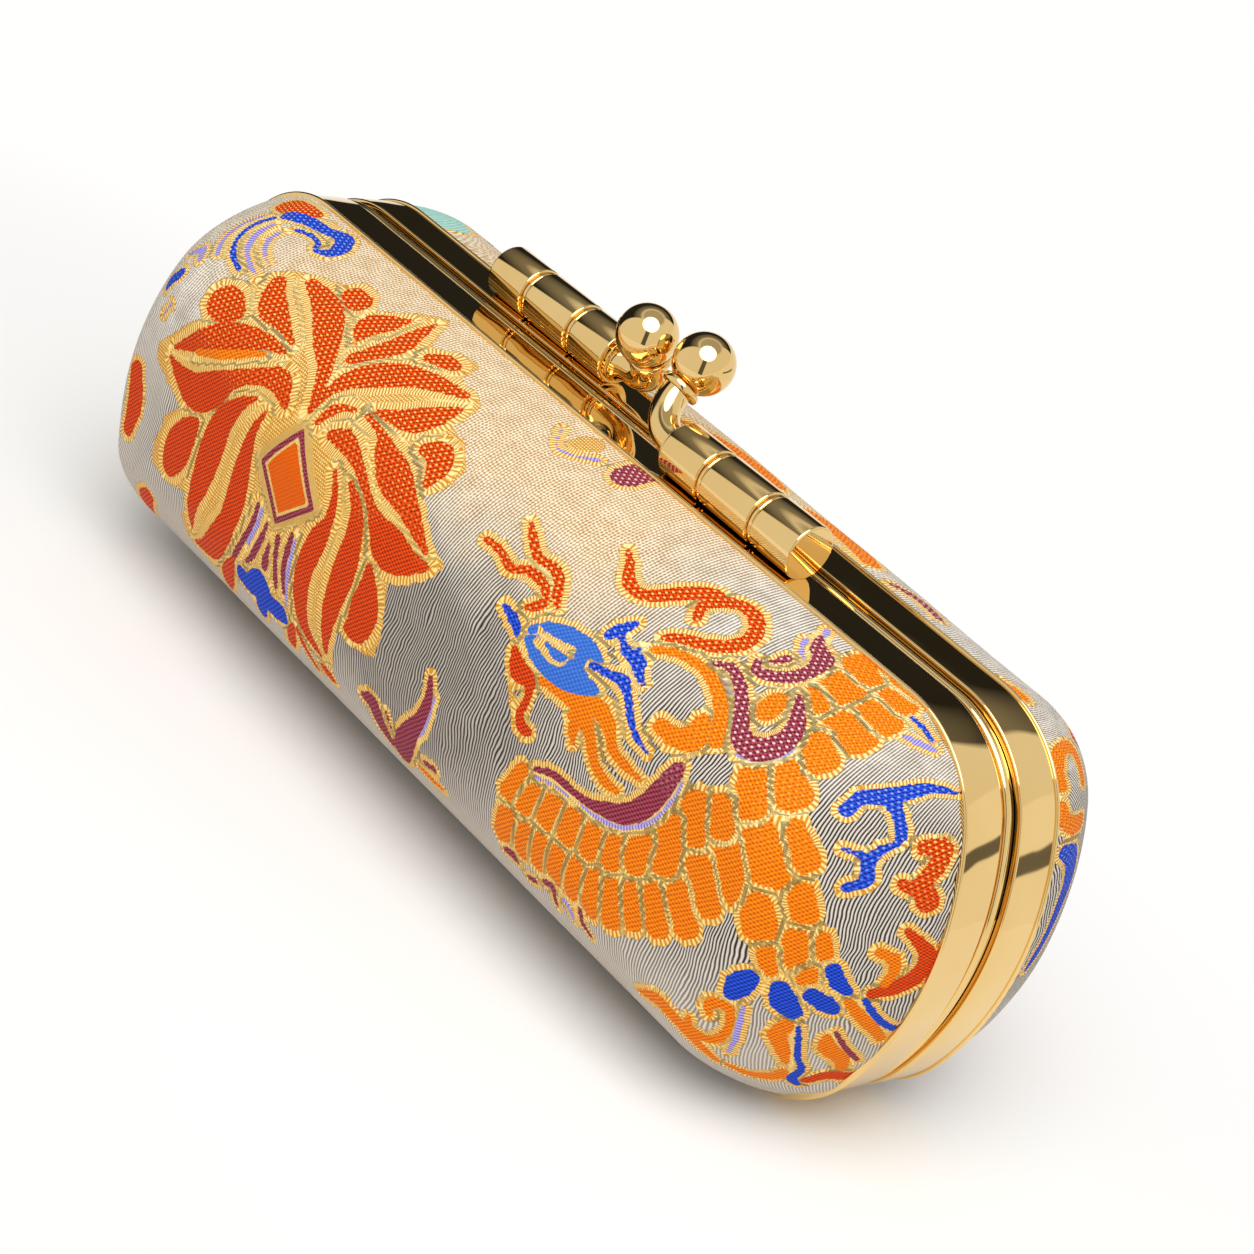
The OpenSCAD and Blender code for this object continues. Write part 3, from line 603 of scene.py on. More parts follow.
# The brocade's pattern is woven from a lotus, a dragon and clouds, all old motifs.
# Every form is a brush stroke: points of (across, up, half width) in millimetres, on the
# cloth smoothed out flat, seen from the front, measured from the middle of the dome.
PATTERN = {
    "red": [
        [(-38, 27.2, 1.5), (-36.4, 27, 1.8)],
        [(-29.2, 30, 0.3), (-30.4, 27.5, 1.6), (-31.5, 25.5, 1.9), (-30.6, 23.2, 0.6)],
        [(-26.9, 32, 0.3), (-26.3, 29, 1.1), (-25.9, 26, 1.6), (-27, 23, 1.2), (-28.2, 20.5, 0.9)],
        [(-43.5, 24.6, 0.8), (-40, 24, 1.6), (-36.5, 22.6, 2), (-33, 20, 1.8), (-30, 17.6, 1.1),
         (-27.8, 14.8, 0.8), (-26.6, 12.4, 0.3)],
        [(-46.8, 21.8, 1), (-45.2, 19.9, 1.7), (-43, 18.6, 1.9), (-40, 18, 1), (-36.4, 17, 0.3)],
        [(-51, 15.3, 1.6), (-49.5, 15.1, 2.6), (-47, 15.2, 1.3)],
        [(-53.6, 6.3, 0.3), (-50, 9, 1.3), (-46.5, 11.6, 1.9), (-43, 13.3, 2), (-39.5, 15, 1.1),
         (-36.3, 15.5, 0.4)],
        [(-53.8, 4.7, 0.3), (-50, 3.8, 1.5), (-46.5, 3.8, 2.4), (-43.3, 5.8, 2.4), (-39.8, 9.3, 1.2),
         (-36.5, 11.5, 1.1), (-33.5, 12.6, 1.5), (-30.2, 11, 0.5)],
        [(-44.2, 0.6, 0.6), (-45.3, -1.5, 2.1), (-46.3, -4.3, 3), (-46.8, -6.3, 2.1)],
        [(-35, 9.2, 0.3), (-37.2, 7, 1.1), (-39.2, 3.5, 2.1), (-39.5, -0.5, 2.5), (-39.5, -4.5, 2.1),
         (-39.8, -8.5, 1.2), (-40.1, -12, 0.3)],
        [(-32.2, 8.8, 0.3), (-32.8, 5.5, 0.9), (-32.5, 1.5, 1.6), (-31.9, -3, 2), (-32.2, -7, 1.8),
         (-34, -10.5, 1.9), (-36.5, -13.2, 1.5), (-40, -14.7, 0.4)],
        [(-29.8, -10.5, 0.3), (-31.2, -13, 1.2), (-32.5, -15.5, 1.4), (-33.7, -18, 0.8)],
        [(-21.6, 27.6, 0.8), (-20, 28.6, 1.3), (-18.5, 28.9, 1)],
        [(-13, 26.7, 0.6), (-16.5, 25.6, 1.3), (-20, 24, 1.8), (-23, 21.5, 2.1), (-25.3, 18.8, 1.6),
         (-26.3, 15.8, 0.8), (-26.3, 12.2, 0.3)],
        [(-24.2, 12.2, 0.5), (-23.7, 14.2, 0.8), (-22.5, 15.4, 0.5), (-21, 16, 0.3)],
        [(-11.3, 24.7, 0.5), (-12.1, 22.3, 1.6), (-13.5, 20.2, 2), (-16, 18.7, 1.1), (-18.8, 17.6, 0.3)],
        [(-8.9, 18.3, 0.9), (-7.2, 18.9, 1.7), (-5.5, 17.7, 1.6), (-4.8, 15.5, 0.8)],
        [(-19, 16.5, 0.4), (-15.5, 16.1, 0.6), (-12.5, 14.6, 1.6), (-9, 13.3, 2.2), (-5, 12, 1.4),
         (-1, 10.6, 0.8), (2, 9.5, 0.3)],
        [(-21.2, 12, 0.6), (-19, 12.6, 1.3), (-16, 12, 0.9), (-12.5, 10.6, 0.6), (-9.5, 9.2, 0.6),
         (-6.5, 7.8, 1.5), (-3.5, 6.9, 2.5), (0, 7.2, 1.6), (3.3, 8.4, 0.4)],
        [(-5, 3.3, 0.6), (-4, 1.3, 1.6), (-3.3, -1.5, 2.6), (-3.6, -4, 1.9), (-5.3, -5.2, 0.6)],
        [(-14, 9.5, 0.4), (-11, 7.5, 1), (-9.3, 4.3, 1.7), (-8.8, 0.5, 2.1), (-8.8, -3.5, 1.7),
         (-8.8, -7.5, 1.1), (-8.7, -10.8, 0.4)],
        [(-17.3, 9.3, 0.3), (-15.3, 7, 0.6), (-14.4, 4, 0.9), (-15, 1, 1.7), (-15.4, -3, 1.7),
         (-14.7, -7, 1.5), (-13.2, -10.2, 1.1), (-10, -12, 0.4)],
        [(-16.2, -12, 0.6), (-17, -14, 1), (-17.8, -16, 0.8)],
        [(-15, -11.5, 0.3), (-14.3, -13, 0.6), (-13, -14.8, 0.6), (-12, -16, 0.5)],
        [(-10, -14, 0.5), (-9, -14.3, 1), (-8, -14.6, 0.7)],
        [(-56, 33.4, 0.8), (-58.5, 32.3, 2), (-61.5, 31.5, 2.2)],
        [(-60.5, -1, 1.5), (-58.8, -4.5, 1.9), (-58.6, -8, 1.3)],
        [(-51.7, -14.5, 1), (-53.3, -16.3, 1.5), (-54.8, -19, 1.4), (-56, -22, 0.7)],
        [(21.3, 25.3, 0.3), (23.3, 24, 0.6), (25, 22.6, 0.8), (27, 22.1, 0.8), (29, 23.3, 0.9),
         (30.8, 25.8, 1.1), (32.5, 28, 1), (33.7, 29, 0.4)],
        [(34.8, 24.6, 0.5), (33.8, 26.3, 0.8), (35, 28.7, 0.9), (37.3, 29.9, 0.9), (39.8, 29, 0.9),
         (41.2, 26.8, 1), (40.5, 24.5, 1), (38.5, 22.8, 0.8), (36, 21.5, 0.7), (34.5, 20.3, 0.5)],
        [(9.8, 20, 0.3), (12, 18.8, 0.6), (14.5, 17.6, 0.6), (17, 17.9, 0.6), (19, 17.3, 0.6),
         (20.5, 15.8, 0.6), (21.8, 14.8, 0.3)],
        [(7.5, 15.1, 0.4), (10, 15.2, 0.5), (13, 14.6, 0.6), (15, 15.7, 0.6), (17.5, 15.8, 0.6),
         (19, 15.2, 0.5), (20, 14.3, 0.5), (19.3, 13.3, 0.7), (18.5, 12.6, 0.4)],
        [(20.6, 8.2, 0.5), (22.5, 6.9, 1.3), (24.8, 6.9, 0.8), (25.6, 5, 0.6), (25.4, 3, 0.6),
         (26.5, 1.9, 0.8), (27.8, 2.1, 0.4)],
        [(77, 17.8, 1), (79, 18.5, 1.3), (79.5, 16, 1.2), (79, 13.5, 1.2), (80.5, 11.5, 1.5)],
        [(76.8, 12.6, 0.7), (79, 12.6, 1.2)],
        [(80, 7, 0.5), (82, 5.8, 0.8), (84, 4, 1.2), (83.8, 1, 1.3), (82, -1, 1.2), (79.5, -2.5, 0.8)],
        [(80.5, -19.5, 1), (78, -18.8, 1), (75.5, -20.5, 0.8)],
    ],
    "orange": [
        [(-49, 8.1, 0.4), (-44, 10.4, 0.6), (-38.5, 13.7, 0.4)],
        [(35, 18.5, 0.5), (37, 19.8, 0.6), (40, 20.5, 0.6), (43, 20.3, 0.7), (46, 19, 0.8),
         (48, 17.3, 0.8), (49.5, 15.5, 0.8)],
        [(42.6, 12.8, 0.8), (45, 13, 1.1), (47, 14.3, 1.6), (46.2, 16, 1)],
        [(26, 7.9, 0.4), (29, 8.3, 0.6), (32, 8.8, 0.9), (34.8, 9.8, 1), (37.5, 9.2, 0.8),
         (39.5, 7.5, 0.7), (42, 7, 0.5), (44, 6.9, 0.3)],
        [(32.5, 7.6, 0.8), (34.5, 7.8, 1), (36, 6.8, 0.8), (37.8, 4.8, 0.7), (40, 3.9, 0.6), (42, 3.9, 0.4)],
        [(33.3, 6.3, 0.8), (34, 4.9, 0.4)],
        [(78, 3.5, 0.6), (80, 2.8, 0.8), (80.7, 1, 0.7), (80.3, -0.8, 0.6)],
        [(63.3, -11, 0.4), (63, -9.6, 0.7), (65, -9.3, 0.6), (65.7, -11.5, 0.5), (65.3, -14, 0.6),
         (63.5, -15.3, 0.7), (61.5, -14.3, 0.6), (61.3, -12.7, 0.3)],
        [(71.5, -9.7, 1), (71, -11.3, 1.1), (72, -13.5, 0.9), (72.8, -16, 0.5)],
        [(76.5, -10.5, 0.5), (77, -12.5, 1.2), (79, -14.8, 1), (79.5, -17, 0.8)],
        [(77.3, -4.3, 0.6), (79.3, -6.3, 0.8), (81.5, -8.5, 0.8), (83, -10.5, 0.6)],
        [(66, -20, 0.5), (69, -21, 0.9), (72, -20, 1), (72.8, -18.3, 0.6)],
        [(53.5, -15.3, 0.4), (57, -13.4, 1.1), (60, -14.5, 1), (62.5, -17, 0.8), (64.5, -19.5, 0.6)],
        [(15.5, -14.6, 0.3), (13, -14.8, 0.6), (10.8, -14.5, 0.4)],
    ],
    "blue": [
        [(-57.8, 30.3, 1.2), (-55, 31.7, 1.1), (-52, 32.3, 0.9), (-49.5, 33.3, 1.2), (-47.7, 31.8, 1.2),
         (-47.3, 30, 0.9), (-48.8, 28.5, 0.3)],
        [(-54, 29.3, 0.4), (-52, 30.1, 0.4), (-50, 29.8, 0.4), (-49.4, 28.8, 0.3)],
        [(-58.8, 28.2, 0.5), (-59.3, 25.5, 0.5), (-58, 22.5, 0.4), (-55.5, 20.3, 0.4), (-52.5, 19.4, 0.3)],
        [(-28, -11.8, 1.2), (-26, -12, 1.5), (-23.8, -10.5, 1.9), (-21.5, -12, 1.6), (-18.8, -11.7, 1.4)],
        [(-23.6, -13, 1.4), (-24.2, -15.3, 1)],
        [(30.5, 19.2, 0.4), (29.8, 17.5, 0.9), (29.3, 16.3, 0.7)],
        [(30.5, 17.2, 0.3), (32.5, 16.2, 0.6), (34.5, 16.3, 0.9), (36, 15.3, 0.6), (37.3, 14.8, 0.3)],
        [(33.5, 17.3, 0.3), (34, 16.3, 0.5)],
        [(30.5, 12.7, 0.4), (33, 13.1, 0.5), (35, 13.6, 0.7), (37, 12.7, 0.5), (39, 11.4, 0.4),
         (41, 10.4, 0.35), (43.5, 9.9, 0.2)],
        [(15.8, 11.1, 0.3), (17.5, 10.8, 0.6), (19, 10.3, 0.6), (19.8, 9.6, 0.3)],
        [(66.6, 18.2, 0.9), (67, 20.3, 1), (69, 21.8, 1.2), (70.7, 23.5, 1.2), (72.5, 25.5, 0.8),
         (74.5, 26.4, 0.5), (76, 26.8, 0.3)],
        [(70.5, 21.5, 1), (72, 20.3, 0.7), (73.5, 18.5, 0.8), (73.8, 17, 0.5), (72.5, 15.3, 0.6),
         (72, 13.5, 0.8), (72.7, 11.5, 0.8), (71, 9.8, 0.5)],
        [(68.8, 13.8, 0.2), (70.5, 14, 0.4), (72, 14, 0.5)],
        [(66, -4.4, 1), (65.3, -5.7, 1.6), (64.8, -7.2, 1)],
        [(69.4, -4.4, 1), (70.3, -6, 1.6), (71.8, -7.3, 1.1)],
        [(73, -4.3, 1), (75, -5.2, 1.2), (76, -5.8, 0.8)],
        [(74, -0.2, 0.9), (75.2, -1.8, 1), (76.6, -2.7, 0.7)],
        [(73, -9.5, 0.3), (73.5, -12, 0.4), (74, -15, 0.4), (74.8, -17.5, 0.5), (73.8, -20, 0.7),
         (74.3, -22, 0.6)],
        [(79, -3.6, 0.4), (80.5, -5.5, 0.5), (82.5, -7.5, 0.5), (84, -8.5, 0.6)],
        [(62.5, 33, 0.3), (65, 32.8, 0.4), (67.5, 32, 0.3)],
        [(-61, 12, 1.2), (-60, 13.8, 1)],
    ],
    "sky": [
        [(20.9, 11.2, 0.5), (22.5, 12.4, 0.7), (25, 13.3, 0.9), (28, 13.8, 0.9), (31, 13.6, 0.4)],
        [(21.3, 10.2, 0.5), (23.5, 9.4, 0.7), (26.5, 9.2, 0.8), (29, 10.2, 1.5), (31.5, 10.6, 1),
         (33.3, 11, 0.4)],
        [(28.6, 12.5, 0.9), (29, 11, 1.2)],
        [(22, 10.6, 0.5), (27.5, 10.9, 0.8)],
    ],
    "maroon": [
        [(-27.3, -1.4, 0.4), (-27.3, -3.6, 0.5), (-28, -6.5, 0.5), (-29.2, -9, 0.5), (-30.4, -11.5, 0.3)],
        [(-24.6, -2.4, 0.3), (-24.9, -5, 0.6), (-25.9, -7.8, 0.5), (-27, -9.2, 0.3)],
        [(-23, -4.5, 0.3), (-23, -6, 0.6), (-23, -7.3, 0.8)],
        [(-21.8, -2.8, 0.5), (-21.2, -5, 0.5), (-20.4, -7.5, 0.5), (-20, -8.8, 0.4)],
        [(-19.5, -1, 0.4), (-19.4, -3, 0.6), (-19, -6, 0.5), (-18.2, -8.3, 0.4)],
        [(10.8, -1.8, 0.4), (11.6, -4, 0.8), (11.2, -7, 1), (9.6, -10, 1.4), (8, -13, 1.8), (7, -15.5, 1.5)],
        [(12.5, -12.6, 0.4), (14.5, -12.2, 0.5)],
        [(-0.4, -11.6, 0.5), (1.6, -11.5, 1.3), (3, -13.4, 1.3), (4.6, -15, 1)],
        [(4.5, -10.9, 0.3), (5.3, -12.3, 0.3)],
        [(10.6, 34.8, 2), (10.6, 33.2, 2)],
        [(30.5, -1, 0.3), (33, 0.1, 0.5), (36, 0.2, 0.5), (39, 0.4, 0.5), (41.5, 1.2, 0.9), (44, 2.3, 1.2),
         (46, 4.5, 1.3), (47.2, 7.5, 1.3), (48, 10.6, 1)],
        [(45.2, 33.5, 0.4), (46.5, 32, 0.9), (48.3, 31.2, 1.3), (49, 29, 1), (48.5, 26.8, 0.9),
         (47, 25.2, 0.8), (45.2, 24.5, 0.6), (44.2, 25.6, 0.4)],
        [(45.9, 28, 0.6), (45.4, 26.6, 0.4)],
        [(41.3, 21.8, 0.3), (43, 22.8, 0.6), (45.5, 22, 0.7), (47.5, 20.7, 0.8), (49.5, 19, 0.9),
         (51.5, 17.5, 1.2), (53.8, 18, 1.5), (55, 20.2, 1.4), (54.3, 22.5, 1.1), (52.7, 24.2, 0.7),
         (51, 25.7, 0.3)],
        [(77.3, -9.5, 0.3), (79, -12.3, 0.4), (81, -15, 0.4)],
        [(28.5, -13.8, 0.4), (30, -13.3, 0.8), (31, -13.8, 0.4)],
        [(33, -14.6, 0.4), (34.3, -14, 0.5)],
        [(36.3, -12.5, 0.4), (37.8, -12, 0.5), (38.3, -14.5, 0.4)],
        [(43, -11.4, 0.4), (43.3, -13, 0.5), (44.5, -14, 0.5)],
    ],
    "lilac": [
        [(-26.4, -1.6, 0.4), (-26.4, -3.8, 0.4), (-27.1, -6.6, 0.4)],
        [(-18.7, -1.2, 0.3), (-18.3, -4, 0.4), (-17.9, -7, 0.4), (-17.4, -9.5, 0.3)],
        [(-23.2, -10.2, 0.9), (-22.9, -11, 0.9)],
        [(-57, 27.5, 0.3), (-56.7, 24.8, 0.5), (-55, 22.2, 0.4), (-52.5, 21, 0.3), (-50, 20.4, 0.2)],
        [(12.5, -3.3, 0.2), (12.5, -6, 0.3), (11.9, -8.5, 0.3), (10.5, -10.2, 0.3)],
        [(31, -1.7, 0.2), (34, -0.9, 0.2), (38, -0.5, 0.15), (42, 0, 0.25), (45, 1.2, 0.25),
         (47.8, 4, 0.25), (49, 7.5, 0.25), (49.3, 10, 0.2)],
        [(43.7, 21.3, 0.2), (46, 20.5, 0.15)],
        [(52.3, 15.9, 0.2), (54.5, 17, 0.3), (56.2, 19.3, 0.3), (56.4, 20.5, 0.2)],
        [(44.8, 31.6, 0.4), (45.6, 30.3, 0.3), (47, 29.4, 0.3)],
        [(44.6, 35, 0.4), (45.4, 33.8, 0.3)],
        [(-1, 32.4, 0.2), (0.5, 30.6, 0.2), (2, 29.8, 0.2), (4, 30.4, 0.2), (6.3, 32.3, 0.35)],
        [(66.5, -8.6, 0.25), (66.7, -11, 0.4), (66.8, -14, 0.35), (66.3, -16.5, 0.25)],
        [(64.5, 30.2, 0.3), (66.5, 30.5, 0.5), (69, 30.9, 0.4)],
        [(-58.5, 8.5, 0.15), (-57.7, 10.3, 0.25)],
        [(-60.8, 27.5, 0.3), (-61.3, 24.5, 0.4), (-60, 21.2, 0.4), (-57.5, 19, 0.3)],
        [(-55, 27.4, 0.25), (-54.6, 25.3, 0.4), (-53, 23.6, 0.3), (-50.8, 22.8, 0.2)],
        [(-62.6, 16.5, 0.5), (-61, 18, 0.7), (-59.2, 17, 0.4)],
        [(40, -12.3, 0.4), (41, -12.8, 0.5), (41.5, -14.3, 0.3)],
    ],
}
# The lotus lies on a gold shape of its own, and gold lines are laid over other forms.
LOTUS_EDGE = [
    (-26.8, 34), (-24.5, 31), (-23, 28.8), (-20, 31.3), (-16.5, 31.5), (-15.8, 28), (-13, 28), (-10, 27),
    (-9.2, 22.5), (-6, 22), (-2.3, 19.5), (-2.2, 16), (-4, 13.5), (1, 11), (5.2, 9.8), (4.5, 7.5),
    (1, 4.5), (-1, 3.8), (0, 0.5), (1, -3), (0.5, -5.8), (-3, -6.5), (-6.7, -6.5), (-7, -9),
    (-7.2, -12.5), (-10, -13.2), (-14, -12.5), (-17, -10.5), (-19, -10.3), (-23, -8), (-28, -10),
    (-31, -12), (-33, -16), (-38.5, -16.3), (-42.4, -15), (-42.5, -12), (-41.5, -10), (-41.5, -8),
    (-43, -8.3), (-47, -9.3), (-51, -8.7), (-51.8, -6.5), (-51, -2), (-48.5, 0.5), (-52.5, 1.5),
    (-56.5, 3), (-57.3, 5), (-55, 7.3), (-52.5, 10.5), (-50.8, 11.8), (-53, 13), (-54, 15.5),
    (-53, 17.8), (-49.5, 19.3), (-49, 22), (-47.5, 24), (-45, 25.5), (-42, 27), (-40.5, 27.5),
    (-39.5, 29.5), (-37, 30.2), (-34.8, 29), (-33.5, 27.5), (-32, 29), (-30, 31.5), (-28.5, 33),
]
SEED_EDGE = [(-25.4, 10.6), (-17.3, 3.8), (-23.2, -1.6), (-29.5, 3.8)]
GOLD_SPOTS = [
    [(2.8, 32.3, 1.6), (3.2, 33.5, 1.6)],
    [(-53.4, 34, 0.6), (-51.8, 33.6, 0.9)],
    [(22.5, 4.8, 0.6), (24, 3.2, 0.5)],
]
GOLD_LINES = [
    [(21.5, 11.75, 0.14), (24.5, 11.8, 0.16), (28, 11.8, 0.14)],
    [(22.4, 10.7, 0.35), (23.3, 10.6, 0.4), (24.4, 10.5, 0.15)],
    [(24.3, 10.4, 0.14), (26.2, 10.2, 0.14), (27.3, 10.7, 0.14), (27.5, 11.6, 0.12)],
]
# The dragon's scales, each from its root to its tip: two places and the half widths there.
SCALES = [
    ((28.9, -2.6, 0.8), (28.0, -6.0, 1.0)), ((31.3, -2.6, 0.9), (30.8, -5.9, 1.3)),
    ((34.6, -1.9, 1.1), (34.3, -4.9, 1.35)), ((37.8, -1.8, 1.15), (37.9, -4.7, 1.35)),
    ((41.2, -1.5, 1.15), (41.6, -4.3, 1.2)), ((44.3, -1.2, 1.0), (44.9, -3.2, 1.2)),
    ((47.9, 0.9, 1.5), (47.7, -0.8, 1.5)), ((28.9, -8.8, 1.4), (28.5, -11.2, 1.45)),
    ((31.7, -8.3, 1.35), (31.5, -10.4, 1.35)), ((34.7, -7.9, 1.25), (34.6, -9.9, 1.25)),
    ((37.8, -7.6, 1.3), (37.8, -9.6, 1.3)), ((40.8, -7.2, 1.25), (41.1, -9.4, 1.25)),
    ((43.7, -6.6, 1.2), (44.3, -9.3, 1.3)), ((46.3, -6.0, 1.3), (47.6, -8.4, 1.3)),
    ((49.1, -4.8, 1.15), (50.3, -6.8, 1.2)), ((51.9, -3.3, 1.3), (53.5, -5.3, 1.3)),
    ((55.0, -1.3, 1.6), (56.7, -2.9, 1.4)), ((56.4, 3.0, 1.7), (58.0, 1.0, 1.6)),
    ((58.7, 6.2, 1.8), (60.4, 4.3, 1.5)), ((61.4, 10.2, 2.1), (63.2, 8.0, 1.8)),
    ((63.3, 12.8, 1.1), (65.6, 11.0, 1.3)), ((50.4, 5.0, 1.6), (51.1, 1.5, 1.6)),
    ((51.9, 8.4, 1.5), (53.1, 6.5, 1.4)), ((55.5, 10.5, 1.4), (56.1, 9.0, 1.5)),
    ((56.1, 14.9, 1.4), (57.7, 12.8, 1.6)), ((58.5, 17.9, 1.3), (60.7, 16.6, 1.6)),
    ((58.0, 22.7, 1.5), (59.8, 21.6, 1.7)), ((57.8, 26.5, 1.6), (61.0, 26.2, 1.7)),
    ((57.7, 30.3, 1.4), (61.4, 29.9, 1.5)), ((57.1, 33.4, 1.1), (60.3, 33.5, 1.1)),
    ((52.3, 29.9, 1.6), (53.8, 29.9, 1.5)), ((51.9, 27.1, 0.8), (53.5, 26.3, 0.8)),
    ((51.3, 33.9, 1.6), (52.7, 33.7, 1.5)), ((50.2, 23.3, 0.8), (50.4, 21.9, 1.0)),
    ((55.6, 37.3, 1.8), (58.6, 37.3, 1.8)), ((63.4, 4.1, 1.4), (64.7, 2.2, 1.6)),
    ((67.3, 7.1, 1.0), (68.4, 5.5, 1.1)), ((69.1, 1.9, 1.2), (69.7, -0.1, 1.2)),
    ((66.8, -0.9, 0.8), (67.4, -2.3, 0.7)), ((71.3, 3.0, 0.7), (72.2, 1.5, 0.7)),
    ((71.3, -1.3, 0.8), (71.7, -2.2, 0.8)),
]
SCALE_ROUND = 0.7
SCALE_BULGE = 0.1
SCALE_R = 2.4
SCALE_GROW = 0.45
CHAIN_W = 0.8
OUTLINE_W = 0.75
SEED_RIM_W = 0.75
SEED_RIM_GAP = 0.4
LINE_GAP = 0.1
FIELD_REACH = 6.0
LEAST_HALF_W = 0.05
STITCH_OUT = 0.3
# The back's cloth is cut so that other clouds come to lie along its edge.
BACK_LEAN = (8, -7)
BACK_FREE = (66, 27)
BACK_EDGE = {
    "orange": [
        [(76.4, 25.8, 1), (74.8, 28.2, 1.1), (71.4, 29.6, 1.1), (69, 28.2, 1.1), (69.6, 25.4, 1),
         (71.6, 22.6, 0.9)],
        [(78.6, 23, 0.9), (79.2, 20.6, 1.2), (78, 18.8, 1.4), (75.8, 18, 1.2)],
        [(56, 35.6, 0.3), (58.5, 35.2, 0.5), (62, 34.4, 0.3)],
        [(-3, 36.5, 0.8), (1, 36, 1.8), (5, 34.6, 2.2), (9.5, 33.4, 1.9), (13.5, 33.6, 0.7)],
        [(18, 35.5, 0.6), (21.5, 33, 1.8), (26, 32.4, 2), (31, 33.8, 1.1)],
        [(-12, 32, 0.6), (-16, 34, 1.4), (-20, 32.5, 1.2), (-23, 34.5, 0.6)],
    ],
    "blue": [
        [(80.4, 16, 1), (78.6, 14, 1.8), (78.4, 11, 2), (79.6, 8, 1.6), (81, 4, 1.1), (82.4, 0, 0.8),
         (83, -2, 0.3)],
        [(-61, 29, 0.6), (-58, 27.6, 1), (-55, 28.6, 1.2), (-52, 31, 0.6)],
    ],
    "teal": [
        [(-68, 33, 1.2), (-64, 33.5, 2), (-59, 34, 2), (-54, 34.5, 1.2)],
    ],
    "maroon": [
        [(36, 34.5, 0.4), (39, 33, 0.9), (43, 33.6, 0.6)],
    ],
}
THREAD_COLOURS = ("lilac", "maroon", "red", "orange", "sky", "blue", "teal")


def smooth_stroke(points, steps=5):
    """A finer stroke through the same points, each stretch a cubic that leaves and meets its
    neighbours in one direction."""
    p = np.asarray(points, float)
    p = np.concatenate([[2 * p[0] - p[1]], p, [2 * p[-1] - p[-2]]])
    t = (np.arange(steps) / steps)[None, :, None]
    a, b, c, d = (p[k:len(p) - 3 + k, None] for k in range(4))
    curve = b + t * ((c - a) / 2 + t * (a - 2.5 * b + 2 * c - d / 2 + t * (1.5 * (b - c) + (d - a) / 2)))
    return np.concatenate([curve.reshape(-1, p.shape[1]), p[-2:-1]])


def stroke_field(cloth, points, reach=FIELD_REACH):
    """Three rows of numbers, one for each cloth place: its distance from the edge of one
    stroke, negative inside it; how far along that edge it lies; and room for its distance
    from the next nearest form."""
    stroke = smooth_stroke(points)
    stroke[:, 2] = np.clip(stroke[:, 2], LEAST_HALF_W, None)
    field = np.array([[reach], [0], [reach]]) + np.zeros(len(cloth))
    low, high = stroke[:, :2].min(0) - reach, stroke[:, :2].max(0) + reach
    near = np.flatnonzero(((cloth > low) & (cloth < high)).all(1))
    passed = 0.0
    for start, end in zip(stroke[:-1], stroke[1:]):
        step = end[:2] - start[:2]
        length = max(np.hypot(*step), 1e-6)
        t = np.clip(((cloth[near] - start[:2]) @ step) / length ** 2, 0, 1)
        offset = cloth[near] - start[:2] - t[:, None] * step
        out = np.hypot(*offset.T)
        half_w = start[2] + t * (end[2] - start[2])
        turn_in = np.arcsin(np.clip(offset @ step / length / np.maximum(out, 1e-6), -1, 1))
        along = passed + t * length + (half_w + STITCH_OUT) * turn_in
        closer = out - half_w < field[0, near]
        field[:2, near] = np.where(closer, [out - half_w, along], field[:2, near])
        passed += length
    return field


def scale_field(cloth, scale, reach=FIELD_REACH):
    """The same rows for one scale, a box with round corners that widens to its tip."""
    (x0, y0, w0), (x1, y1, w1) = scale
    step = np.array([x1 - x0, y1 - y0])
    length = np.hypot(*step)
    field = np.array([[reach], [0], [reach]]) + np.zeros(len(cloth))
    near = np.flatnonzero((np.abs(cloth - [(x0 + x1) / 2, (y0 + y1) / 2]) < reach + length).all(1))
    offset = cloth[near] - [x0, y0]
    along = offset @ step / length
    beside = (offset[:, 0] * step[1] - offset[:, 1] * step[0]) / length
    half_w = w0 + (w1 - w0) * np.clip(along / length, 0, 1)
    middle, half_l = (length + w1 - w0) / 2, (length + w0 + w1) / 2
    bulge = SCALE_BULGE * beside ** 2
    past = np.abs(along + bulge - middle) - (half_l - SCALE_ROUND)
    wide = np.abs(beside) - (half_w - SCALE_ROUND)
    outside = np.hypot(np.clip(past, 0, None), np.clip(wide, 0, None))
    distance = outside + np.minimum(np.maximum(past, wide), 0) - SCALE_ROUND
    field[:2, near] = distance, np.arctan2(beside, along - middle) * SCALE_R
    return field


def edge_distance(cloth, corners, reach=FIELD_REACH):
    """Distance of each cloth place from a closed outline, negative inside it."""
    corners = np.asarray(corners, float)
    found = np.full(len(cloth), reach)
    low, high = corners.min(0) - reach, corners.max(0) + reach
    near = np.flatnonzero(((cloth > low) & (cloth < high)).all(1))
    p = cloth[near]
    gap = np.full(len(near), reach)
    within = np.zeros(len(near), bool)
    for start, end in zip(corners, np.roll(corners, -1, 0)):
        step = end - start
        t = np.clip(((p - start) @ step) / (step @ step), 0, 1)
        gap = np.minimum(gap, np.hypot(*(p - start - t[:, None] * step).T))
        crosses = (start[1] > p[:, 1]) != (end[1] > p[:, 1])
        span = end[1] - start[1] if end[1] != start[1] else 1e-9
        within ^= crosses & (p[:, 0] < start[0] + (p[:, 1] - start[1]) / span * step[0])
    found[near] = np.where(within, -gap, gap)
    return found


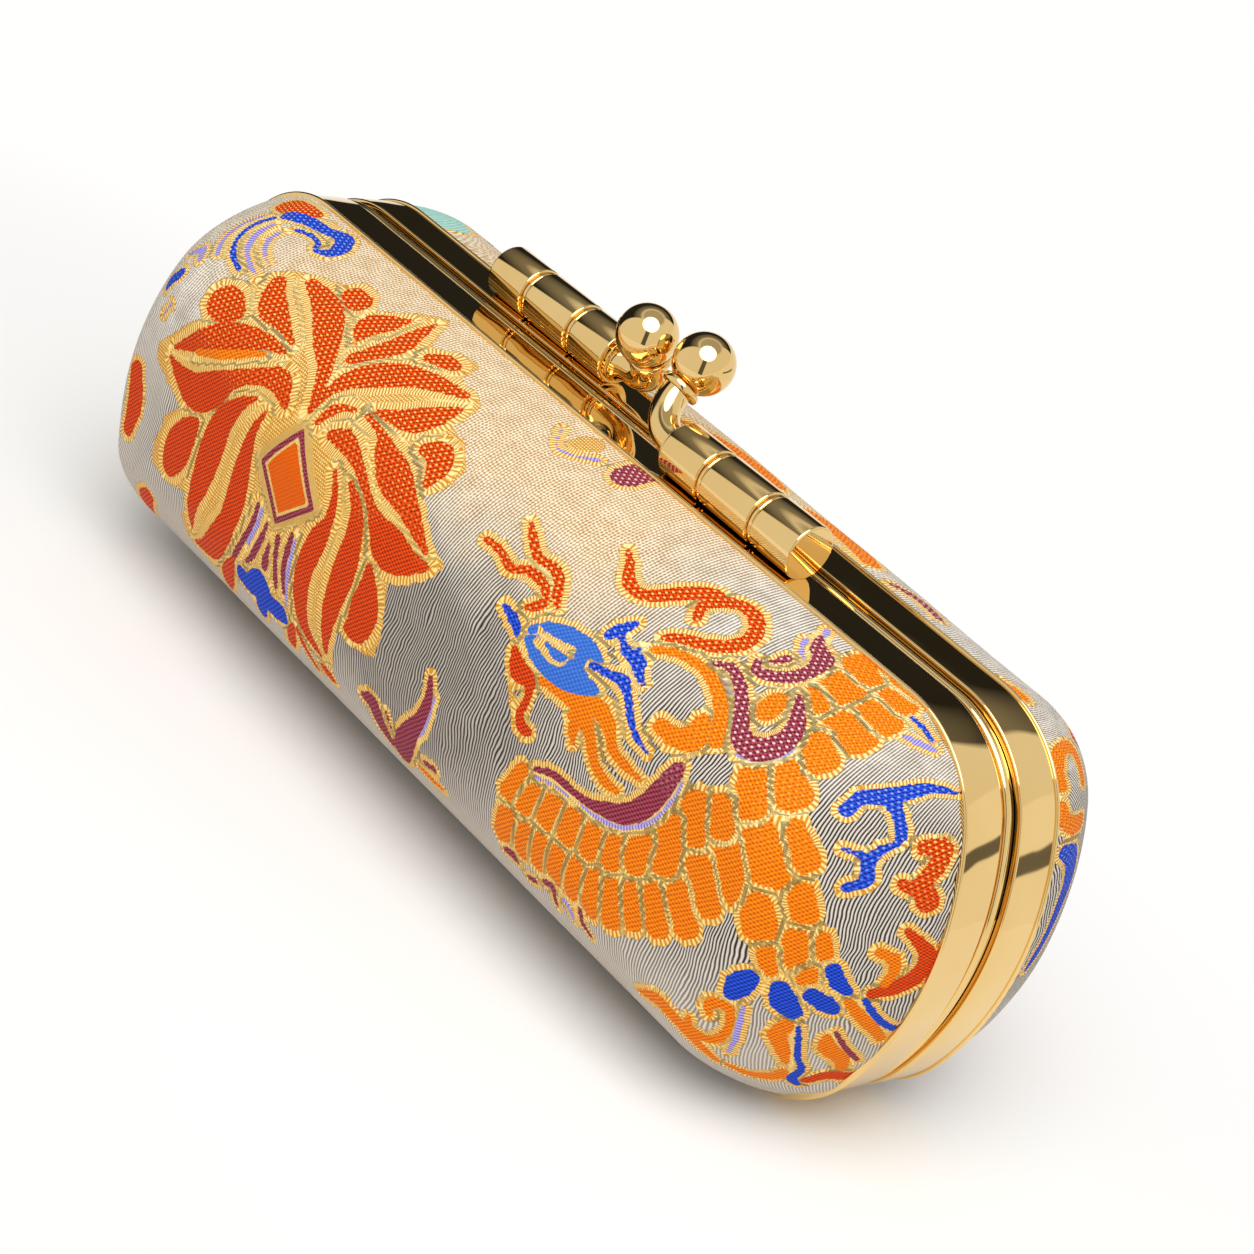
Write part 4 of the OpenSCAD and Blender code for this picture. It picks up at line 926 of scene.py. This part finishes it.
def nearest(fields):
    """Of many fields, the one with the smallest distance at each place. Its last row becomes
    the smallest distance but one."""
    fields = np.stack(fields)
    pick = fields[:, 0].argmin(0)
    best = np.take_along_axis(fields, pick[None, None], 0)[0]
    others = np.where(np.arange(len(fields))[:, None] == pick, np.inf, fields[:, 0])
    best[2] = np.minimum(best[2], others.min(0))
    return best


def strokes_nearest(cloth, pattern):
    """For every thread colour, the field of its nearest stroke."""
    nowhere = np.array([[FIELD_REACH], [0], [FIELD_REACH]]) + np.zeros(len(cloth))
    return {
        c: nearest([nowhere] + [stroke_field(cloth, s) for s in pattern.get(c, [])])
        for c in THREAD_COLOURS
    }


def woven(cloth, edge_pattern=None, lean=(0, 0)):
    """For every thread colour, the distance of each cloth place from the forms in that colour.
    Also edge, stitch and meet: its distance from any form but gold, its place along that form's
    edge, and how far it lies from the line midway to the next form; and its distance from the
    lotus's seed. A cloth with a pattern of its own along its edge is turned over and shifted by
    lean, and other forms stop short."""
    plain = cloth
    if edge_pattern:
        cloth = np.stack([lean[0] - cloth[:, 0], cloth[:, 1] - lean[1]], 1)
    fields = strokes_nearest(cloth, PATTERN)
    seed = edge_distance(cloth, SEED_EDGE)
    scales = nearest([scale_field(cloth, s) for s in SCALES])
    over_body = nearest([fields[c] for c in ("maroon", "blue", "red", "lilac")])
    to_chain = (scales[2] - scales[0]) / 2
    scales[0] = np.max([scales[0] - SCALE_GROW, CHAIN_W / 2 - to_chain, OUTLINE_W - over_body[0]], 0)
    scales[2] = scales[0] + 2 * to_chain
    rim = np.maximum(seed, -(seed + SEED_RIM_W))
    heart = seed + SEED_RIM_W + SEED_RIM_GAP
    far_off = seed + 1.5 * FIELD_REACH
    fields["orange"] = nearest([fields["orange"], scales, np.stack([heart, seed * 3, far_off])])
    fields["maroon"] = nearest([fields["maroon"], np.stack([rim, seed * 3, far_off])])
    lines = nearest([stroke_field(cloth, s) for s in GOLD_LINES])[0]
    spots = nearest([stroke_field(cloth, s) for s in GOLD_SPOTS])[0]
    lotus = edge_distance(cloth, LOTUS_EDGE)
    if edge_pattern:
        inner = np.max(plain - BACK_FREE, 1)
        for field in fields.values():
            field[0] = np.maximum(field[0], inner)
        lotus, spots = np.maximum(lotus, inner), np.maximum(spots, inner)
        for c, field in strokes_nearest(plain, edge_pattern).items():
            fields[c] = nearest([fields[c], field])
    fills = nearest(list(fields.values()))
    forms = {c: np.maximum(field[0], LINE_GAP - lines) for c, field in fields.items()}
    forms["gold"] = np.min([lotus, spots, fills[0] - OUTLINE_W, lines], 0)
    forms.update(edge=fills[0], stitch=fills[1], meet=(fills[2] - fills[0]) / 2, seed=seed)
    return forms


# The ground is silver-grey thread in fine ribs. The figures are woven into it in twilled and
# dotted colours, inside outlines laid in short stitches of gold thread. Widths and lengths of
# threads are millimetres on the cloth.
brocade = Finish("woven_brocade", Specular_IOR_Level=0.1)
RIB_W = 0.44
RIB_BEAD_L = 0.5
TWILL_W = 0.68
TWILL_CROSS_W = 0.6
DOT_W = 0.92
DOT_L = 0.62
GOLD_BEAD_W = 0.38
GOLD_BEAD_L = 0.4
STITCH = 0.42
SEAM_W = 0.3
STITCHED_W = 1.15
THREAD_EDGE_W = 0.1
GROUND_RELIEF = 0.06
OUTLINE_RELIEF = 0.12
STITCH_RELIEF = 0.07
FIGURE_RELIEF = 0.07
TWILL_RELIEF = 0.04


def woven_number(name):
    """A number that the cover's mesh holds for each of its points."""
    return brocade.node("ShaderNodeAttribute", {"attribute_name": name}, out=2)


weft = woven_number("across")
warp = woven_number("up")
flat = brocade.node("ShaderNodeCombineXYZ", None, {0: weft, 1: warp, 2: 0.0})
drift = brocade.noise(flat, 0.09, 3) - 0.5
slub = brocade.noise(flat, 1.1, 2) - 0.5
# A painted mottle of sheen over the ground.
painted_sheen_mottle = brocade.noise(flat, 0.45, 3) - 0.5
fine = brocade.node("ShaderNodeCombineXYZ", None, {0: weft * 3.2, 1: warp * 1.5, 2: 0.0})
grain = brocade.noise(fine, 1, 2)

# The gold stitches lie side by side across an outline, and two outlines meet in a seam.
stitches = woven_number("stitch") / STITCH
seam = (1 - woven_number("meet") / SEAM_W).clamped()
satin_ridge = stitches.wave() * (1 - seam * 0.6) + seam * 0.45
ragged = (brocade.chance(stitches.math("FLOOR")) * 0.4 + slub * 0.4) * (1 - seam * 0.8)


def thread_mask(name, ragged_share):
    """1 where that colour is woven in, with an edge that steps from thread to thread."""
    return (0.5 - (woven_number(name) + ragged * ragged_share) / THREAD_EDGE_W).clamped()


rib = (weft / RIB_W + drift * 4.5 + (warp * 0.11 + drift * 5).math("SINE") * 1.1).wave()
rib_bead = (warp / RIB_BEAD_L + brocade.chance((weft / RIB_W).math("FLOOR")) * 2 + slub).wave()
rows = (warp - weft) / TWILL_W + slub * 0.6
cross_rows = (weft + warp) / TWILL_CROSS_W + rows * 0.5
twill = (rows.wave() * 0.7 + cross_rows.wave() * 0.6 - 0.15).clamped()
stagger = (warp / DOT_L).math("FLOOR").math("MODULO", 2.0) * 0.5
dot_x = (weft / DOT_W + stagger + slub * 0.2).math("FRACT") - 0.5
dot_y = (warp / DOT_L + slub * 0.15).math("FRACT") - 0.5
dot = (1.8 - dot_x * dot_x * 28 - dot_y * dot_y * 26).clamped()
bead_row = (warp / GOLD_BEAD_L).math("FLOOR") * 0.5
beads = ((weft / GOLD_BEAD_W + bead_row).wave() * (warp / GOLD_BEAD_L).wave() * 1.5).clamped()

# The ground's colour has its light painted in. Between the ribs it is darker, partly from its dark
# thread and partly as painted shade. Painted sheen makes it cream along the top, silver below,
# with a sweep of painted shade between the lotus and the dragon, and painted light from the
# floor makes it paler again underneath and at the left end.
high = (warp + drift * 14).above(12, 8)
# Painted warm sheen, cream along the top.
warm = (warp + drift * 14).above(16, 12) * (34 - weft).above(6, 18)
# Painted sheen, paler in the upper part.
painted_bright_sheen = (warp - weft * 0.16 + drift * 22).above(13, 14)
# Painted light from the floor, underneath and at the left end.
under = (0 - warp + drift * 12).above(9, 12).math("MAXIMUM", (0 - weft).above(52, 10))
# Painted shade in a dark sweep between the lotus and the dragon.
painted_dark_sweep_across = (1 - (weft - 8 + drift * 24).math("ABSOLUTE") / 24).clamped()
painted_dark_sweep_up = (1 - (warp + 2 + drift * 14).math("ABSOLUTE") / 15).clamped()
painted_dark_sweep = (painted_dark_sweep_across * painted_dark_sweep_up * 2.5).clamped()
rib_gaps_thread_and_painted_light = brocade.mix(brocade.mix(tint("322b25"), tint("84796a"), painted_bright_sheen), tint("b98c4e"), warm)
rib_gaps_thread_and_painted_light = brocade.mix(rib_gaps_thread_and_painted_light, tint("a0968a"), under)
rib_gaps_thread_and_painted_light = brocade.mix(rib_gaps_thread_and_painted_light, tint("3a342f"), painted_dark_sweep * 0.8)
rib_tops_with_painted_light = brocade.mix(brocade.mix(tint("ded5c9"), tint("f4ece0"), painted_bright_sheen), tint("faecd0"), warm)
rib_tops_with_painted_light = brocade.mix(rib_tops_with_painted_light, tint("b3aaa0"), painted_dark_sweep * 0.8)
crisp = (rib - 0.5) * (1.5 - painted_bright_sheen * 0.5) + (rib_bead - 0.5) * (warm * 0.6 + painted_bright_sheen * 0.2) + 0.4
ground = (crisp + grain * 0.25 + painted_sheen_mottle * (painted_bright_sheen * 0.5 + 0.3)).clamped()
colour = brocade.mix(rib_gaps_thread_and_painted_light, rib_tops_with_painted_light, ground)


def twilled(dark, light, speckle=0.0, less=0.0):
    """Thread woven in slanting rows, darker between the rows in painted shade, and speckled by its own
    grain.
    """
    return brocade.mix(tint(dark), tint(light), (twill + grain * speckle - less).clamped())


def dotted(thread, dots, share):
    """The same thread with light dots, which show most in the upper part of the cloth."""
    return brocade.mix(thread, tint(dots), dot * high * share)


beaded = woven_number("edge").above(STITCHED_W, 0.3)
gold_weave = satin_ridge * (1 - beaded) + beads * beaded
# The gold thread is painted darker between its stitches and beads and lighter on their crests, painted shade
# and light over its own grain. Its painted highlight is stronger in the upper part of the cloth.
gold_painted_light_and_grain = gold_weave + grain * 0.4 - 0.2 + seam * 0.25
gold_thread = brocade.mix(tint("c47a18"), tint("ffcf62"), (gold_painted_light_and_grain + 0.1).clamped())
gold_thread = brocade.mix(gold_thread, tint("fff2b4"), (gold_painted_light_and_grain - 0.5 + high * 0.3).clamped())
in_seed = (0 - woven_number("seed")).above(0, 0.3)
orange_thread = dotted(twilled("b03c00", "ff8a08", 0.5, 0.05), "ffb84e", 0.5)
threads = {
    "gold": gold_thread,
    # Lilac is painted lighter on the crest of each stitch and darker between, painted light and shade.
    "lilac": brocade.mix(tint("6a5cb8"), tint("c5bbf2"), satin_ridge),
    "maroon": dotted(twilled("5f1026", "ae4a5c"), "f6d8cc", 0.8),
    "red": dotted(twilled("741700", "f04c08", 0.5, 0.12), "ffc562", 1.0),
    "orange": brocade.mix(orange_thread, tint("dc5000"), in_seed * 0.7),
    # Sky is painted darker between its twill rows, painted shade over its own grain.
    "sky": brocade.mix(tint("1c4cb4"), tint("4f86de"), (twill * 0.6 + grain * 0.4).clamped()),
    "blue": dotted(twilled("0a1c7c", "2558ea"), "a9bcff", 0.6),
    "teal": twilled("7fbcae", "bfe3d8"),
}
masks = {c: thread_mask(c, 0.9 if c == "gold" else 0.5) for c in threads}
for name, thread in threads.items():
    colour = brocade.mix(colour, thread, masks[name])
figure = masks["red"]
for name in ("orange", "blue", "sky", "maroon", "lilac", "teal"):
    figure = figure.math("MAXIMUM", masks[name])
outlines = masks["gold"] * (1 - figure)
ground_relief = ground * (1 - masks["gold"]) * GROUND_RELIEF
outline_relief = outlines * (OUTLINE_RELIEF + gold_weave * STITCH_RELIEF)
figure_relief = figure * (twill * TWILL_RELIEF + FIGURE_RELIEF)
brocade.set(
    Base_Color=colour,
    Roughness=0.5 + figure * 0.1,
    Normal=brocade.bump(ground_relief + outline_relief + figure_relief),
)

COVER_POINTS = 720
COVER_ROWS = (62, 32, 14, 6)
PUCKERS = 46
PUCKER_D = 0.22
PUCKER_FADE = 9
UNEVEN_D = 0.12


def cloth_form(surface, cloth, normals):
    """Small gathers where the brocade is tucked round the corners, waves round the outline that
    die away from the rim, and a slight unevenness, a wave across times a wave up the cloth."""
    into = np.linspace(0, 1, len(surface))[:, None]
    corner = np.abs(normals[:, 0] * normals[:, 1]) * 2
    around = np.arange(surface.shape[1]) / surface.shape[1] * math.tau
    waves = np.sin(PUCKERS * around + 2 * np.sin(5 * around))
    gather = waves * corner * np.exp(-into * PUCKER_FADE) * PUCKER_D
    uneven = np.sin(cloth[..., 0] * 0.21 + 1) * np.sin(cloth[..., 1] * 0.27) * UNEVEN_D
    moved = surface.copy()
    moved[..., 1] += uneven * np.minimum(into * 6, 1)
    moved[..., 0] += normals[:, 0] * gather
    moved[..., 2] += normals[:, 1] * gather
    return moved


for half in ("front", "back"):
    swelling = padding(half, COVER_POINTS)
    _, cloth = dome(COVER_I, DOME_D, *COVER_ROWS[:2], COVER_POINTS, swelling)
    places = cloth.reshape(-1, 2)
    forms = woven(places) if half == "front" else woven(places, BACK_EDGE, BACK_LEAN)
    marks = {c: field.reshape(cloth.shape[:2]) for c, field in forms.items()}
    marks.update(across=cloth[..., 0], up=cloth[..., 1])
    cover = cup(
        f"{half}_brocade_cover", half, (COVER_I, DOME_D), (WAD_I - SEAT, WAD_D + SEAT),
        (TUCK_I, TUCK_I + CLOTH_T, RIM_D), COVER_ROWS, COVER_POINTS, (1, 1), cloth_form, marks,
    )
    cover.data.materials.append(brocade.material)
    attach(cover, f"{half}_half")
    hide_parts(f"{half}_cover")

# Under the brocade lies bleached wadding, and under that a shell moulded from grey pulp board.
# Inside, champagne satin on a thin card is pressed into the shell.
wadding_cotton = Finish("bleached_wadding", Roughness=0.95)
fluff = wadding_cotton.noise(wadding_cotton.place(), 900, 6, 0.7)
wadding_cotton.set(
    Base_Color=wadding_cotton.mix(tint("d9d4c8"), tint("f4f1e8"), fluff),
    Normal=wadding_cotton.bump(fluff * 0.5),
)
pulp_board = Finish("moulded_pulp_board")
pulp = pulp_board.noise(pulp_board.place(), 1500, 5, 0.6)
pulp_board.set(
    Base_Color=pulp_board.mix(tint("8d8478"), tint("a9a093"), pulp),
    Roughness=pulp * 0.2 + 0.7,
    Normal=pulp_board.bump(pulp * 0.08),
)
satin = Finish("champagne_satin", Sheen_Weight=0.4)
SATIN_THREAD_W = 0.4 * MM
satin_across = satin.node("ShaderNodeSeparateXYZ", None, {0: satin.place()})
satin_threads = (satin_across / SATIN_THREAD_W + satin.noise(satin.place(), 300, 2) * 2).wave()
satin_sweep = satin.noise(satin.place(), 40, 2)
satin.set(
    Base_Color=satin.mix(tint("c9a877"), tint("ead2a6"), satin_sweep * 0.7 + satin_threads * 0.3),
    Roughness=satin_threads * 0.08 + 0.3,
    Normal=satin.bump(satin_threads * 0.01 + satin_sweep * 0.3),
)
LAYER_POINTS = 360
LAYER_ROWS = (36, 12, 30, 10)
FRONT_TRAY_D = -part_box("front_lining")[1].y / MM
BACK_TRAY_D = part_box("back_lining")[0].y / MM
layers = (
    ("wadding", (WAD_I, WAD_D), (WAD_I + WAD_T, SHELL_D + SEAT), (WAD_I, WAD_I + WAD_T), wadding_cotton),
    ("shell", (WAD_I + WAD_T + SEAT, SHELL_D), (LINING_I - SEAT, LINING_D + SEAT),
     (SHELL_I, LINING_I - SEAT), pulp_board),
    ("lining", (LINING_I, LINING_D), (INNER_I, LINING_D - LINING_T), (LINING_I, INNER_I), satin),
)
for half, tray_d in (("front", FRONT_TRAY_D), ("back", BACK_TRAY_D)):
    for name, outer, inner, rim, finish in layers:
        reach = {"wadding": EDGE_D, "shell": RIM_D, "lining": tray_d}[name]
        swell = (1, 0) if name == "wadding" else (0, 0)
        made = cup(
            f"{half}_smooth_{name}", half, outer, inner, (*rim, reach), LAYER_ROWS, LAYER_POINTS, swell,
        )
        made.data.materials.append(finish.material)
        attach(made, f"{half}_half")
        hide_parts(f"{half}_{name}")
        name == "wadding"
        name == "lining"

# The case stands on a sweep of white paper under a round softbox, in a pale studio.
# Only mirrors see the studio: its ceiling, a dark opening far behind, a low shelf to the right
# and the camera's stand.
PAPER_WHITE = (1, 0.993, 0.982, 1)
DISC_R = 0.16
RING_R = 2.5
FADE_SQUEEZE = (0.45, 1, 1)
FADE_FROM = 25 * MM
FADE_OVER = 68 * MM


def disc(name, inner, outer, count=96):
    """A flat ring on the floor around the case, or a round disc where inner is 0."""
    around = np.linspace(0, math.tau, count, endpoint=False)
    circle = np.stack([np.cos(around), np.sin(around), 0 * around], 1)
    points = np.concatenate([circle * outer, circle * inner]) if inner else circle * outer
    k = np.arange(count)
    quads = np.stack([k, (k + 1) % count, count + (k + 1) % count, count + k], 1)
    mesh = bpy.data.meshes.new(name)
    mesh.from_pydata(points.tolist(), [], quads[:, ::-1].tolist() if inner else [k.tolist()])
    made = bpy.data.objects.new(name, mesh)
    bpy.context.collection.objects.link(made)
    return made


paper = Finish("white_paper", Roughness=0.9, Specular_IOR_Level=0.1)
looked_at = (paper.node("ShaderNodeLightPath", out=0) + paper.node("ShaderNodeLightPath", out=3)).clamped()
squeezed = paper.node("ShaderNodeVectorMath", {"operation": "MULTIPLY"}, {0: paper.place(), 1: FADE_SQUEEZE})
far = paper.node("ShaderNodeVectorMath", {"operation": "LENGTH"}, {0: squeezed}, out=1)
fade = ((far - FADE_FROM) / FADE_OVER).clamped() * looked_at
paper.shader.inputs["Emission Strength"].default_value = 1.0
paper.set(
    Base_Color=paper.mix(tint("f6f5f3"), (0, 0, 0, 1), fade),
    Emission_Color=paper.mix((0, 0, 0, 1), PAPER_WHITE, fade),
)
near_floor = disc("white_paper_under_the_case", 0, DISC_R)
far_floor = disc("white_paper_around", DISC_R, RING_R)
for part in (near_floor, far_floor):
    part.data.materials.append(paper.material)
far_floor.visible_glossy = False

SOFTBOX_WAY = Vector((0.338, -0.389, 0.857))
SOFTBOX_AIM = Vector((0, 0, 0.05))
SOFTBOX_AWAY = 0.5
SOFTBOX_ACROSS = 0.52
SOFTBOX_POWER = 2.45
softbox = bpy.data.objects.new("round_softbox", bpy.data.lights.new("round_softbox", "AREA"))
softbox.data.shape = "DISK"
softbox.data.size = SOFTBOX_ACROSS
softbox.data.energy = SOFTBOX_POWER
softbox.location = SOFTBOX_AIM + SOFTBOX_WAY * SOFTBOX_AWAY
softbox.rotation_euler = SOFTBOX_WAY.to_track_quat("Z", "Y").to_euler()
bpy.context.collection.objects.link(softbox)

world = bpy.data.worlds.new("pale_studio")
bpy.context.scene.world = world
world.use_nodes = True
room = Graph(world.node_tree)
way = room.node("ShaderNodeTexCoord", out=0)


def toward(axis):
    """How far the direction looked into points along an axis, from -1 to 1."""
    return room.node("ShaderNodeVectorMath", {"operation": "DOT_PRODUCT"}, {0: way, 1: axis}, out=1)


def grey(level):
    """A slightly warm grey."""
    return (level, level * 0.985, level * 0.96, 1)


SWEEP_WAY = (-0.149, -0.491, 0.859)
OPENING_WAY = (-0.318, 0.833, 0.455)
STAND_WAY = (0.652, -0.758, 0)
BESIDE_STAND = (0.758, 0.652, 0)
SHELF_WAY = (0.63, 0.776, 0)
rise = toward((0, 0, 1))
opening = (0.05 - toward((1, 0, 0))).above(0, 0.05) * toward(OPENING_WAY).above(0, 0.05)
opening = opening * (0.8 - rise).above(0, 0.08)
stand = (0.13 - toward(BESIDE_STAND).math("ABSOLUTE")).above(0, 0.02) * toward(STAND_WAY).above(0, 0.02)
stand = stand * (0.545 - rise).above(0, 0.03)
shelf = (0.038 - rise.math("ABSOLUTE")).above(0, 0.012) * toward(SHELF_WAY).above(0.93, 0.02)
studio = room.mix(grey(0.86), grey(0.46), rise.above(0.85, 0.06))
studio = room.mix(studio, room.mix(grey(0.02), grey(0.3), rise.above(0.65, 0.35)), opening)
studio = room.mix(studio, grey(0.12), stand)
studio = room.mix(grey(0.97), studio, toward(SWEEP_WAY).above(-0.14, 0.02))
studio = room.mix(studio, grey(0.16), shelf)
seen, mirrored, seen_through = (room.node("ShaderNodeLightPath", out=k) for k in (0, 3, 6))
light = room.mix(grey(0.5), studio, mirrored.math("MAXIMUM", seen_through))
light = room.mix(light, (1, 1, 1, 1), seen)
room.put(world.node_tree.nodes["Background"].inputs["Color"], light)
bpy.context.scene.view_settings.view_transform = "Standard"
